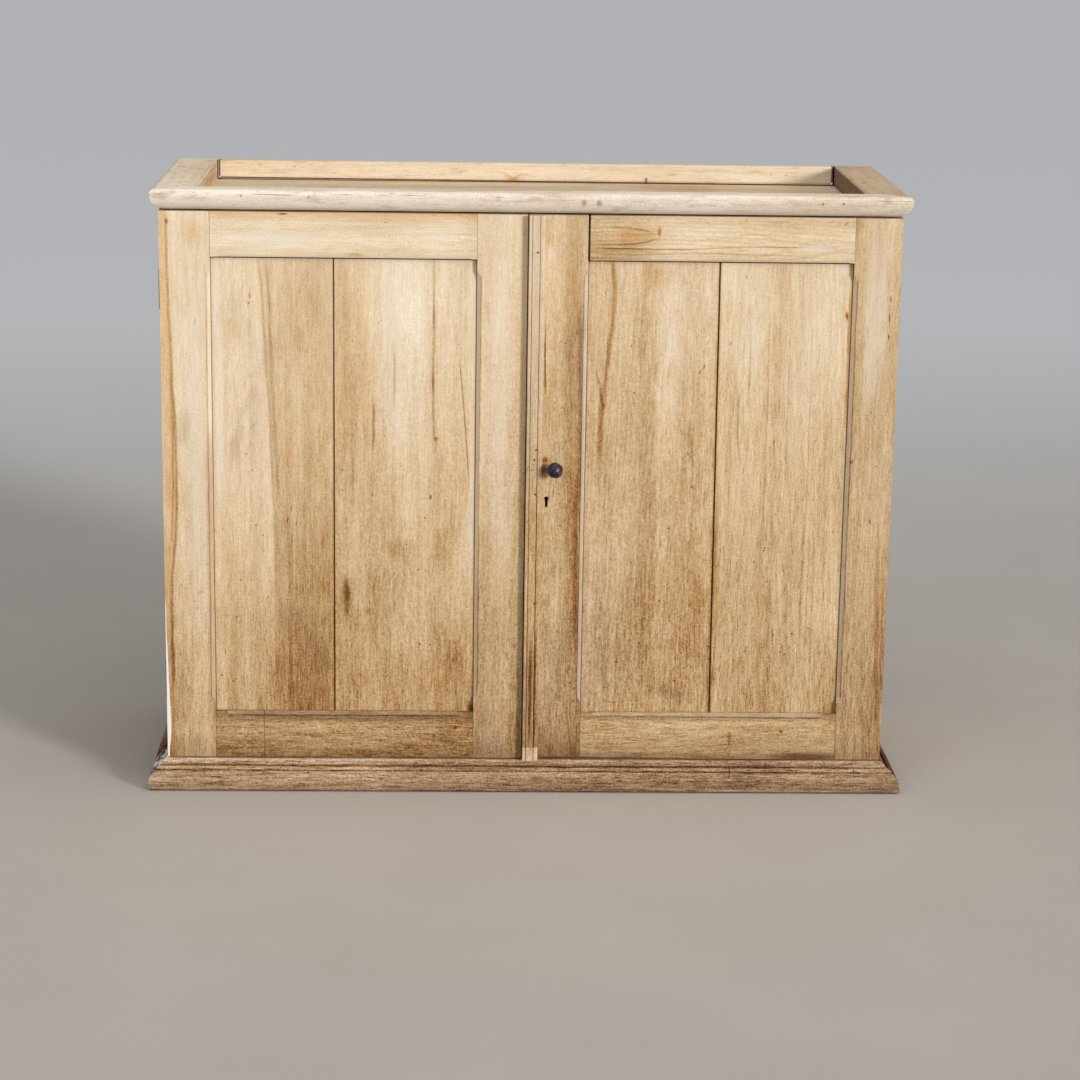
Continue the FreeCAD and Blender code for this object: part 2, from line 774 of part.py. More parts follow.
def plane_the_foot(meeting_stile, bottom_rail):
    """Cuts the wedge off both sticks, each in its own directions."""
    stile_wedge = planed_wedge("right_door_edge - overrun", "right_opening_left + overrun")
    rail_wedge = planed_wedge("right_opening_left - overrun", "planing_end")
    for stick, outline in (
            (meeting_stile, [(up, f"right_opening_left - ({x})") for x, up in stile_wedge]),
            (bottom_rail, [(f"right_opening_right - ({x})", f"bottom_rail_width - ({up})")
                           for x, up in rail_wedge])):
        cut(stick, "planed_foot", "XZ_Plane", outline, "-overrun", "door_thickness + overrun")


def right_door():
    """The right door: as the left one, with its foot planed on a slope and one shoulder open."""
    height = "(door_top - door_bottom)"
    meeting = stile("right_door_meeting_stile", height, "right_meeting_width", "right_opening_left",
                    "door_bottom", -90, "bottom_rail_width", "top_rail_width")
    bore_for_knob_and_key(meeting)
    hinge = stile("right_door_hinge_stile", height, "right_stile_width", "right_opening_right",
                  "door_top", 90, "top_rail_width", "bottom_rail_width")
    hinge_gains(hinge, "right_stile_width", ("door_top - upper_hinge", "door_top - lower_hinge"))
    span = "(right_opening_right - right_opening_left)"
    top = rail("right_door_top_rail", span, "top_rail_width", "right_opening_left", "opening_top", 0,
               NARROW_CHAMFER, "open_shoulder_gap")
    bottom = rail("right_door_bottom_rail", span, "bottom_rail_width", "right_opening_right",
                  "opening_bottom", 180)
    plane_the_foot(meeting, bottom)
    joint = "right_opening_left + right_panel_joint"
    lean = "right_panel_lean"
    edge = "groove_depth - panel_play"
    inner = panel_board("right_door_inner_panel", f"right_opening_left - ({edge})",
                        f"{joint} - right_panel_crack / 2", f"{joint} + {lean} - right_panel_crack / 2",
                        None, "opening_bottom")
    outer = panel_board("right_door_outer_panel", None, f"{joint} + right_panel_crack / 2",
                        f"{joint} + {lean} + right_panel_crack / 2", f"right_opening_right + {edge}",
                        "opening_bottom")
    return [hinge, meeting, top, bottom, inner, outer]


# Hinges

KNUCKLES = 5


def hinge_leaf(label, side, middle, on_door):
    """One leaf of a butt hinge: a sunk plate with its knuckles, bored for the pin.

    The pin stands at the leaf's own origin. The knuckles share the length: the leaf on the case
    has the first, the last and every other one between them, the one on the door has the rest.
    """
    facing = -1 if on_door else 1
    own = range(1 if on_door else 0, KNUCKLES, 2)
    others = range(0 if on_door else 1, KNUCKLES, 2)
    inward = -side
    body = new_body(label, times(side, "pin_side"), "pin_line", f"{middle} - hinge_length / 2")
    near = f"{facing} * door_back_gap / 2"
    far = f"{facing} * (door_back_gap / 2 + leaf_thickness)"
    add(body, "plate", "XY_Plane",
        rectangle("0", near, times(inward, "leaf_width + pin_outset"), far), "0", "hinge_length")
    pitch = f"hinge_length / {KNUCKLES}"
    half_gap = "moving_clearance / 2"
    for index in others:
        drill(body, f"room_{index + 1}", "XY_Plane", [("0", "0")], "barrel_radius + moving_clearance",
              f"{index} * {pitch} - {half_gap}", f"{index + 1} * {pitch} + {half_gap}")
    for index in own:
        low = "0" if index == 0 else f"{index} * {pitch} + {half_gap}"
        high = "hinge_length" if index == KNUCKLES - 1 else f"{index + 1} * {pitch} - {half_gap}"
        sketch = new_sketch(body, f"knuckle_{index + 1}_outline", "XY_Plane", low)
        draw_circles(sketch, [("0", "0")], "barrel_radius")
        sweep(body, f"knuckle_{index + 1}", "XY_Plane", sketch, low, high, False)
    drill(body, "pin_bore", "XY_Plane", [("0", "0")], "pin_radius + pin_clearance",
          "-overrun", "hinge_length + overrun")
    return body


def hinge_pins():
    """Four pins, each as long as its hinge and a little more at both ends."""
    pins = []
    for side in (-1, 1):
        for middle in ("lower_hinge", "upper_hinge"):
            foot = Vector(side * number("pin_side"), number("pin_line"),
                          number(f"{middle} - hinge_length / 2 - pin_overhang"))
            pins.append(Part.makeCylinder(number("pin_radius"),
                                          number("hinge_length + 2 * pin_overhang"), foot))
    return group("hinge_pins", pins)


def hinges():
    """Two hinges for each door, as pairs of leaves, and their pins."""
    parts = [hinge_pins()]
    for side, word in ((-1, "left"), (1, "right")):
        for middle, level in (("lower_hinge", "lower"), ("upper_hinge", "upper")):
            parts.append(hinge_leaf(f"{word}_{level}_hinge_case_leaf", side, middle, False))
            parts.append(hinge_leaf(f"{word}_{level}_hinge_door_leaf", side, middle, True))
    return parts


# Cover strip on the right door. Shares of its width and thickness, from the door's face outwards

STRIP_PROFILE_SHARES = [
    (0.00, 0.00),
    (0.00, 0.90),
    (0.05, 1.00, 0.41),
    (0.18, 1.00),
    (0.21, 0.84),
    (0.25, 1.00),
    (0.66, 1.00),
    (0.70, 0.76),
    (0.74, 0.92),
    (0.84, 0.92),
    (1.00, 0.52, 0.41),
    (1.00, 0.00),
]

def strip_length(label, low, high):
    """A length of the cover strip between two heights."""
    body = new_body(label, "strip_left", "door_face", low)
    outline = [(f"{across} * strip_width", f"-{out} * strip_thickness", *bulge)
               for across, out, *bulge in STRIP_PROFILE_SHARES]
    add(body, "moulding", "XY_Plane", outline, "0", f"({high}) - ({low})")
    return body


def cover_strip():
    """The strip and its replaced lower end, butted together."""
    joint = "strip_bottom + strip_patch_length"
    return [strip_length("cover_strip", joint, "door_top"),
            strip_length("cover_strip_end_patch", "strip_bottom", joint)]


# Knob and lock. The rose's rim is a share of its radius, and the neck starts a share of its thickness out

ROSE_RIM_SHARE = 0.85
NECK_START_SHARE = 1.6


def knob():
    """A turned iron knob: rose, neck and ball, with a shank through the stile."""
    body = new_body("knob", "knob_place", "door_face", "knob_height")
    sketch = new_sketch(body, "knob_outline", "YZ_Plane")
    end = "door_thickness + nut_thickness + knob_shank_radius / 2"
    over_the_top = math.pi - math.asin(number("knob_neck_radius / knob_radius"))
    draw(sketch, [
        (end, "0"), (end, "knob_shank_radius"), ("0", "knob_shank_radius"), ("0", "knob_rose_radius"),
        ("-knob_rose_thickness", f"{ROSE_RIM_SHARE} * knob_rose_radius"),
        (f"-{NECK_START_SHARE} * knob_rose_thickness", "knob_neck_radius"),
        ("knob_neck_end", "knob_neck_radius"),
        ("-knob_reach", "0", math.tan(over_the_top / 4)),
    ])
    turned = body.newObject("PartDesign::Revolution", "turned")
    turned.Profile = sketch
    turned.ReferenceAxis = (sketch, ["H_Axis"])
    return body


def knob_nut():
    body = new_body("knob_nut", "knob_place", "door_back", "knob_height")
    half = "nut_side / 2"
    add(body, "nut", "XZ_Plane", rectangle(f"-{half}", f"-{half}", half, half), "0", "nut_thickness")
    drill(body, "bore", "XZ_Plane", [("0", "0")], "knob_shank_radius + pin_clearance",
          "-overrun", "nut_thickness + overrun")
    return body


def lock_case():
    """The lock on the right door's back, with a channel for its bolt and the key's way in."""
    body = new_body("lock_case", "right_door_edge", "door_back", "lock_bottom")
    add(body, "case", "XZ_Plane", rectangle("0", "0", "lock_width", "lock_height"), "0", "lock_thickness")
    low = "lock_bolt_bottom - lock_bottom - moving_clearance"
    cut(body, "bolt_channel", "XZ_Plane",
        rectangle("-overrun", low, "lock_bolt_length + 2 * moving_clearance",
                  "lock_bolt_bottom - lock_bottom + lock_bolt_height + moving_clearance"),
        "bolt_low - moving_clearance", "bolt_high + moving_clearance")
    x = "keyhole_place - right_door_edge"
    z = "keyhole_height - lock_bottom"
    keyhole(body, (x, z),
            rectangle(f"{x} - keyhole_slot_width / 2", f"{z} - keyhole_slot_drop",
                      f"{x} + keyhole_slot_width / 2", z),
            "lock_thickness - lock_wall")
    return body


def lock_bolt():
    """The lock's bolt, drawn back into the case."""
    return board("lock_bolt", "right_door_edge + moving_clearance",
                 "right_door_edge + moving_clearance + lock_bolt_length",
                 "door_back + bolt_low", "door_back + bolt_high",
                 "lock_bolt_bottom", "lock_bolt_bottom + lock_bolt_height")


def lock_keeper():
    """The box on the left door's back that the lock's bolt shoots into."""
    body = new_body("lock_keeper", "left_door_edge - keeper_width", "door_back", "keeper_bottom")
    add(body, "box", "XZ_Plane", rectangle("0", "0", "keeper_width", "keeper_height"),
        "0", "lock_thickness")
    cut(body, "mouth", "XZ_Plane",
        rectangle("keeper_width - lock_travel", "keeper_margin - 2 * moving_clearance",
                  "keeper_width + overrun", "keeper_height - keeper_margin + 2 * moving_clearance"),
        "bolt_low - 2 * moving_clearance", "bolt_high + 2 * moving_clearance")
    return body


def knob_and_lock():
    return [knob(), knob_nut(), lock_case(), lock_bolt(), lock_keeper()]


# Bolts on the left door's back. The lower one is the upper one turned upside down

def bolt_plate(label, z, turn):
    """A plate with two staples that guide the rod."""
    body = new_body(label, "bolt_place", "door_back", z, turn)
    half = "plate_width / 2"
    add(body, "plate", "XZ_Plane", rectangle(f"-{half}", "0", half, "plate_length"), "0", "plate_thickness")
    reach = "staple_width / 2"
    for name, low in (("first_staple", "staple_inset"),
                      ("second_staple", "plate_length - staple_inset - staple_height")):
        add(body, name, "XZ_Plane", rectangle(f"-{reach}", low, reach, f"{low} + staple_height"),
            "0", "rod_standoff + rod_radius + staple_wall")
    drill(body, "rod_way", "XY_Plane", [("0", "rod_standoff")], "rod_radius + moving_clearance",
          "-overrun", "plate_length + overrun")
    return body


def bolt_rod(label, z, turn):
    """The rod, drawn back, with a thumb stud between its staples."""
    body = new_body(label, "bolt_place", "rod_line", z, turn)
    sketch = new_sketch(body, "rod_outline", "XY_Plane")
    draw_circles(sketch, [("0", "0")], "rod_radius")
    sweep(body, "rod", "XY_Plane", sketch, "0", "rod_length", False)
    stud = new_sketch(body, "thumb_outline", "XZ_Plane")
    draw_circles(stud, [("0", "staple_inset + staple_height + moving_clearance + thumb_radius")],
                 "thumb_radius")
    sweep(body, "thumb", "XZ_Plane", stud, "0", "rod_radius + thumb_reach", False)
    return body


UPPER_PLATE = "(top_board_under - plate_gap - plate_length)"
LOWER_PLATE = "(bottom_board_top + plate_gap + plate_length)"


def door_bolts():
    return [
        bolt_plate("upper_bolt_plate", UPPER_PLATE, 0), bolt_rod("upper_bolt_rod", UPPER_PLATE, 0),
        bolt_plate("lower_bolt_plate", LOWER_PLATE, 180), bolt_rod("lower_bolt_rod", LOWER_PLATE, 180),
    ]


all_parts = [*carcass(), *base(), *rim(), *left_door(), *right_door(), *hinges(), *cover_strip(),
             *knob_and_lock(), *door_bolts()]
doc.recompute()


def check(parts):
    """Every object is up to date and every part is one or more sound solids."""
    for thing in doc.Objects:
        bad = [word for word in thing.State if word in ("Invalid", "Error")]
        if bad:
            raise RuntimeError(f"{thing.Label} of {[p.Label for p in thing.InList]}: {bad}")
    for part in parts:
        if part.Shape.isNull() or not part.Shape.isValid() or not part.Shape.Solids:
            raise RuntimeError(f"{part.Label}: no sound solid")


check(all_parts)
os.makedirs("parts", exist_ok=True)
for part in all_parts:
    part.Shape.exportStep(f"parts/{part.Label}.step")
print(len(all_parts), "parts written")
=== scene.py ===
# %% [markdown]
# # A stripped two-door cupboard
# This lesson dresses a finished solid model of an old country cupboard. Its paint has been taken
# off, so the wood is bare: cream at the top, tea brown near the floor, with brown heartwood, open
# pores, old nail holes and a little white paint left in one corner. The model is loaded first, and
# nothing in it is moved. Every board gets a finish that is worked out, not photographed.

# %% Load the model
import math

import bpy
import numpy as np
from mathutils import Matrix, Vector


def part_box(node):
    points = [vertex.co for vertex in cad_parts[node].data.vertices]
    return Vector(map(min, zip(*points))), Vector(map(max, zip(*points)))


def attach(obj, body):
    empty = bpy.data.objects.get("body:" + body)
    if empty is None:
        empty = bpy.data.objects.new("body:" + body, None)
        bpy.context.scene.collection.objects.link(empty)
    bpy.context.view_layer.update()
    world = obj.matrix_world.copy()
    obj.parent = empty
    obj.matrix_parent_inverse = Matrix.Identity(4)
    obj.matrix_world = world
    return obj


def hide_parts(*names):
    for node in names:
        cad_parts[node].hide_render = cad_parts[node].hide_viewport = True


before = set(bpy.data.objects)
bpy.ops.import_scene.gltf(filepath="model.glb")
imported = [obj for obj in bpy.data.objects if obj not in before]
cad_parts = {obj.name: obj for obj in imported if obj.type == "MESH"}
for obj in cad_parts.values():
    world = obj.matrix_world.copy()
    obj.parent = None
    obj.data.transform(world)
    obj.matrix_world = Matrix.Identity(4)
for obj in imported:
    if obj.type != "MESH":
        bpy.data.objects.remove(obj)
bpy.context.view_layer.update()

# %% [markdown]
# ## The view
# The cupboard is seen from a little above and almost straight on. A long lens stands far back, so
# the upright edges stay nearly parallel. The three axes of the camera are worked out from its turn,
# its tilt and its lean, and go into its matrix as columns.

# %% Camera
CAMERA_PLACE = (-0.1234, -4.6836, 1.5557)
CAMERA_TURN, CAMERA_TILT, CAMERA_LEAN = (math.radians(angle) for angle in (1.828, 14.076, 0.872))
LENS = 93.24


def camera_axes(turn, tilt, lean):
    """Right, up and backward of a camera that looks along +Y, turned right, tilted down, then leaned."""
    forward = Vector((math.sin(turn) * math.cos(tilt), math.cos(turn) * math.cos(tilt), -math.sin(tilt)))
    right = Vector((math.cos(turn), -math.sin(turn), 0))
    up = right.cross(forward)
    leaned_right = math.cos(lean) * right + math.sin(lean) * up
    leaned_up = math.cos(lean) * up - math.sin(lean) * right
    return leaned_right, leaned_up, -forward


def add_camera():
    """A camera with a square picture, 36 mm of sensor to each side."""
    lens = bpy.data.cameras.new("view")
    lens.lens = LENS
    lens.sensor_width = 36
    lens.clip_end = 200
    camera = bpy.data.objects.new("view", lens)
    bpy.context.scene.collection.objects.link(camera)
    columns = [*camera_axes(CAMERA_TURN, CAMERA_TILT, CAMERA_LEAN), Vector(CAMERA_PLACE)]
    camera.matrix_world = Matrix([[column[row] for column in columns] for row in range(3)] + [[0, 0, 0, 1]])
    bpy.context.scene.camera = camera
    return camera


view = add_camera()
bpy.context.scene.view_settings.view_transform = "Standard"
print("camera at", [round(value, 2) for value in view.location], "lens", LENS)

# %% [markdown]
# ## Surfaces from arrays
# Every new piece here is a surface of two parameters, worked out on a grid as whole arrays. One
# helper lists the squares of a grid, and can close it round where its first and last columns are
# the same place. Another turns points and squares into a mesh; the pieces that move with the model
# are then attached to one of its bodies.

# %% Squares of a grid
def grid_faces(rows, columns, closed=False):
    """Corner numbers of the squares of a grid, wrapping round the columns where it is closed."""
    across = np.arange(columns if closed else columns - 1)
    down = np.arange(rows - 1)
    row, column = np.meshgrid(down, across, indexing="ij")
    right = (column + 1) % columns
    corners = np.stack([row * columns + column, row * columns + right,
                        (row + 1) * columns + right, (row + 1) * columns + column], axis=-1)
    return corners.reshape(-1, 4)


print("a grid of 3 by 4 places has", len(grid_faces(3, 4)), "squares")


# %% Grid to mesh
def new_piece(name, points, faces, material, smooth=True):
    """A mesh object from an array of points and an array of faces, standing at the origin."""
    mesh = bpy.data.meshes.new(name)
    mesh.from_pydata(points.reshape(-1, 3).tolist(), [], faces.tolist())
    mesh.polygons.foreach_set("use_smooth", np.full(len(mesh.polygons), smooth))
    mesh.update()
    piece = bpy.data.objects.new(name, mesh)
    bpy.context.scene.collection.objects.link(piece)
    mesh.materials.append(material)
    return piece


# %% [markdown]
# ## Shader sums
# A finish is a sum of patterns. Written as nodes it would take a page for each line, so one small
# class wraps a socket: adding or multiplying two of them adds the Math node that does it. Colours
# go through Mix instead, because a Math node would turn them grey.

# %% Wires
class Wire:
    """A socket of a finish. A sum of wires adds the nodes that work it out."""

    def __init__(self, finish, socket):
        self.finish = finish
        self.socket = socket

    def math(self, operation, *values, clamp=False):
        return self.finish.node("ShaderNodeMath", {"operation": operation, "use_clamp": clamp},
                                dict(enumerate(values)))

    def __add__(self, other):
        return self.math("ADD", self, other)

    def __sub__(self, other):
        return self.math("SUBTRACT", self, other)

    def __mul__(self, other):
        return self.math("MULTIPLY", self, other)

    def __truediv__(self, other):
        return self.math("DIVIDE", self, other)

    def __rsub__(self, other):
        return self.math("SUBTRACT", other, self)

    def __neg__(self):
        return self.math("MULTIPLY", self, -1)

    def __abs__(self):
        return self.math("ABSOLUTE", self)

    __radd__ = __add__
    __rmul__ = __mul__

    def clamped(self):
        return self.math("ADD", self, 0, clamp=True)

    def fade(self, start, end):
        """Smoothly from 0 where the value is at start to 1 where it is at end."""
        return self.finish.node("ShaderNodeMapRange", {"interpolation_type": "SMOOTHSTEP"},
                                {0: self, 1: start, 2: end})


# %% [markdown]
# ### A finish in the making
# Every finish starts alike: a material with nodes, the place on the piece and the way that it
# faces. Nodes could be added and wired one by one, at six lines each. Here one method adds any
# node, with its settings and its sockets given by name, so a pattern stays one line long.

# %% Finishes
class Finish:
    """A material in the making: its node tree, the place on the piece, and its shader."""

    def __init__(self, name):
        self.material = bpy.data.materials.new(name)
        self.material.use_nodes = True
        self.tree = self.material.node_tree
        self.shader = self.tree.nodes["Principled BSDF"]
        self.spot = self.node("ShaderNodeTexCoord", {}, {}, "Object")
        self.x, self.y, self.z = self.parts(self.spot)
        facing = self.node("ShaderNodeTexCoord", {}, {}, "Normal")
        self.facing_x, self.facing_y, self.facing_z = self.parts(facing)

    def node(self, kind, settings, sockets, out=0):
        """Any node: its settings first, then the values or wires of its sockets. Returns an output.

        The stops of a colour ramp and the points of a curve are settings too.
        """
        node = self.tree.nodes.new(kind)
        for name, value in settings.items():
            if name == "stops":
                self.set_stops(node.color_ramp.elements, value)
            elif name == "points":
                self.set_points(node.mapping, value)
            else:
                setattr(node, name, value)
        for key, value in sockets.items():
            if isinstance(value, Wire):
                self.tree.links.new(value.socket, node.inputs[key])
            else:
                node.inputs[key].default_value = value
        return Wire(self, node.outputs[out])

    def set_stops(self, steps, stops):
        for _ in stops[2:]:
            steps.new(0.5)
        for step, (position, colour) in zip(steps, stops):
            step.position = position
            step.color = colour

    def set_points(self, mapping, places):
        points = mapping.curves[0].points
        for place in places[1:-1]:
            points.new(*place)
        points[0].location = places[0]
        points[len(places) - 1].location = places[-1]
        mapping.update()

    def parts(self, vector):
        """The three numbers of a vector."""
        split = self.node("ShaderNodeSeparateXYZ", {}, {0: vector}).socket.node
        return [Wire(self, split.outputs[index]) for index in range(3)]

    def vector(self, x, y, z):
        return self.node("ShaderNodeCombineXYZ", {}, {0: x, 1: y, 2: z})

    def noise(self, vector, detail=2.0, rough=0.5):
        """Smooth noise around one half, one wave to each unit of the vector."""
        return self.node("ShaderNodeTexNoise", {}, {"Vector": vector, "Scale": 1.0, "Detail": detail,
                                                    "Roughness": rough})

    def mix(self, below, above, mask, blend="MIX"):
        """One colour over another, as far as the mask says."""
        return self.node("ShaderNodeMix", {"data_type": "RGBA", "blend_type": blend},
                         {0: mask, 6: below, 7: above}, 2)

    def ramp(self, value, stops):
        """A colour for each value, between stops of (value, colour)."""
        return self.node("ShaderNodeValToRGB", {"stops": stops}, {0: value})

    def relief(self, height, strength, depth):
        """Bumps and hollows from a height, as deep as depth where the height goes from 0 to 1."""
        return self.node("ShaderNodeBump", {}, {"Strength": strength, "Distance": depth, "Height": height})

    def link(self, **sockets):
        """Wires or values into the shader's own sockets, with spaces written as underscores."""
        for name, value in sockets.items():
            socket = self.shader.inputs[name.replace("_", " ")]
            if isinstance(value, Wire):
                self.tree.links.new(value.socket, socket)
            else:
                socket.default_value = value


# %% Colours from a chart
def paint(red, green, blue):
    """A colour as a painter's chart gives it, 0 to 255, made linear for the shader."""
    shares = np.array([red, green, blue]) / 255
    linear = np.where(shares <= 0.04045, shares / 12.92, ((shares + 0.055) / 1.055) ** 2.4)
    return (*(float(value) for value in linear), 1.0)


print("middle grey of a chart is", round(paint(128, 128, 128)[0], 3), "to a shader")

# %% [markdown]
# ## Floor and light
# A pale floor runs on far behind and grows paler with distance, so no wall is needed. It is one
# square of matt concrete. A shiny one would throw a bright patch at the camera from behind.

# %% Floor
FLOOR_REACH = 60.0


def floor_finish():
    """Pale painted concrete with a trace of wear, paler far from the cupboard on every side."""
    finish = Finish("pale_floor")
    cloud = finish.noise(finish.vector(finish.x * 2.2, finish.y * 2.2, 0.0), 4, 0.6)
    grit = finish.noise(finish.vector(finish.x * 90, finish.y * 90, 0.0), 2, 0.6)
    near = finish.ramp((cloud * 0.7 + grit * 0.3).clamped(),
                       [(0.3, paint(195, 189, 182)), (0.7, paint(203, 197, 190))])
    far = (finish.y.fade(0.6, 5.0) + finish.y.fade(-3.0, -7.0) + abs(finish.x).fade(3.0, 7.0)).clamped()
    colour = finish.mix(near, paint(238, 240, 244), far)
    finish.link(Base_Color=colour, Roughness=(cloud * 0.1 + 0.85), Specular_IOR_Level=0.0)
    return finish.material


corner = np.array([-FLOOR_REACH, FLOOR_REACH])
floor_x, floor_y = np.meshgrid(corner, corner, indexing="xy")
floor = new_piece("floor", np.stack([floor_x, floor_y, np.zeros_like(floor_x)], axis=-1),
                  grid_faces(2, 2), floor_finish(), smooth=False)
print("floor", 2 * FLOOR_REACH, "m wide")


# %% [markdown]
# ### Lamps
# The main lamp is a far one, like the sun through a haze, low on the right. That is why the strip
# between the doors throws a soft shadow to the left, and why both doors get the same light, which
# a near lamp would not give them. A weaker lamp fills from the left, and one hangs above the tray.
# With the sky they are as bright as a colour needs to come out as it was written.

# %% Lamps
def lamp(name, kind, place, target, size, power):
    """A white lamp at a place, facing a target: an area with an edge, or a far one with an angle."""
    light = bpy.data.lights.new(name, kind)
    if kind == "SUN":
        light.angle = math.radians(size)
    else:
        light.size = size
    light.energy = power
    stand = bpy.data.objects.new(name, light)
    stand.location = place
    stand.rotation_euler = (Vector(target) - Vector(place)).to_track_quat("-Z", "Y").to_euler()
    bpy.context.scene.collection.objects.link(stand)


lamp("main_lamp", "SUN", (5.6, -5.8, 2.3), (0, 0, 0.5), 12, 2.40)
lamp("fill_lamp", "AREA", (-3.4, -4.6, 2.4), (0, 0, 0.5), 2.6, 18)
lamp("top_lamp", "AREA", (0.1, -0.9, 3.4), (0, 0.1, 0.5), 2.6, 28)
print(len(bpy.data.lights), "lamps")


# %% [markdown]
# ### Sky
# The sky has two strengths: a weak one that lights the object, and one that the camera and polished
# iron see, as pale as the far floor. One strength for both would either drown the lamps or leave a
# dark band behind the cupboard.

# %% Sky
class Sky(Finish):
    """A world in the making. It lends its tree to the same wires that the finishes use."""

    def __init__(self, world):
        world.use_nodes = True
        self.tree = world.node_tree

    def seen(self):
        """1 where the camera, metal or glass looks at the sky, 0 where the sky gives its light."""
        rays = self.node("ShaderNodeLightPath", {}, {}).socket.node.outputs
        kinds = ("Is Camera Ray", "Is Glossy Ray", "Is Transmission Ray")
        return sum(Wire(self, rays[kind]) for kind in kinds).clamped()


SKY_LIGHT = 0.34
SKY_LOOK = paint(180, 182, 187)
bpy.context.scene.world = bpy.data.worlds.new("sky")
sky = Sky(bpy.context.scene.world)
sky_light = sky.node("ShaderNodeBackground", {}, {"Color": (1, 1, 1, 1), "Strength": SKY_LIGHT})
sky_look = sky.node("ShaderNodeBackground", {}, {"Color": SKY_LOOK, "Strength": 1.0})
sky_sum = sky.node("ShaderNodeMixShader", {}, {0: sky.seen(), 1: sky_light, 2: sky_look})
sky.tree.links.new(sky_sum.socket, sky.tree.nodes["World Output"].inputs["Surface"])
print("sky gives", SKY_LIGHT, "and looks like the far floor")

# %% [markdown]
# ## The wood
# Bare wood is one family of colours, from cream through honey to heart brown. So each board is
# first worked out as one number, its tone, and a ramp turns tone into colour. Broad bands, streaks,
# fine lines, growth rings and pores all run along the board, because the noise behind them is
# stretched that way. Three more numbers say how far the wood is bleached grey, warmed to orange, or
# grimy. In a few places the tone, the warmth and the grime also carry painted light and shade. Marks
# only add to these numbers where they lie, so every mark blends into the grain. The wood has no
# polish, so its shader's specular level is zero and its cracks stay dark from all sides.

# %% Colours of the wood
STRIPPED = [(0.0, paint(98, 60, 30)), (0.2, paint(152, 110, 66)), (0.4, paint(190, 156, 111)),
            (0.6, paint(216, 188, 149)), (0.8, paint(233, 212, 180)), (1.0, paint(249, 236, 215))]
WEATHERED = [(0.0, paint(66, 44, 34)), (0.2, paint(121, 90, 65)), (0.4, paint(165, 131, 95)),
             (0.6, paint(196, 169, 137)), (0.8, paint(223, 204, 182)), (1.0, paint(244, 232, 217))]
BLEACHED = paint(232, 222, 207)
ORANGE = paint(250, 220, 178)
GRIME_AND_SHADE = paint(150, 128, 118)
CRACK_AND_SHADE = paint(34, 18, 10)
WHITE_PAINT = paint(238, 236, 230)

SMOOTH_WOOD = dict(bands=0.50, streaks=0.26, lines=0.38, grit=0.45, pores=0.10, patches=0.55)
OPEN_WOOD = dict(bands=0.42, streaks=0.24, lines=0.46, grit=0.50, pores=0.16, patches=0.45)
ROUGH_WOOD = dict(bands=0.60, streaks=0.42, lines=0.52, grit=0.55, pores=0.26, patches=0.50)
DOOR_FOOT, DOOR_TOP = (corner[2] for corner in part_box("left_door_hinge_stile"))
print("doors from", round(DOOR_FOOT, 4), "to", round(DOOR_TOP, 4))


# %% [markdown]
# ### A board
# The grain runs up, level or deep into the picture, and each board says which. Its own seed moves
# it to another place in the noise, so no two boards match. The tone starts from three levels, at
# the foot, the middle and the top of the doors, because old doors are dirtier lower down.

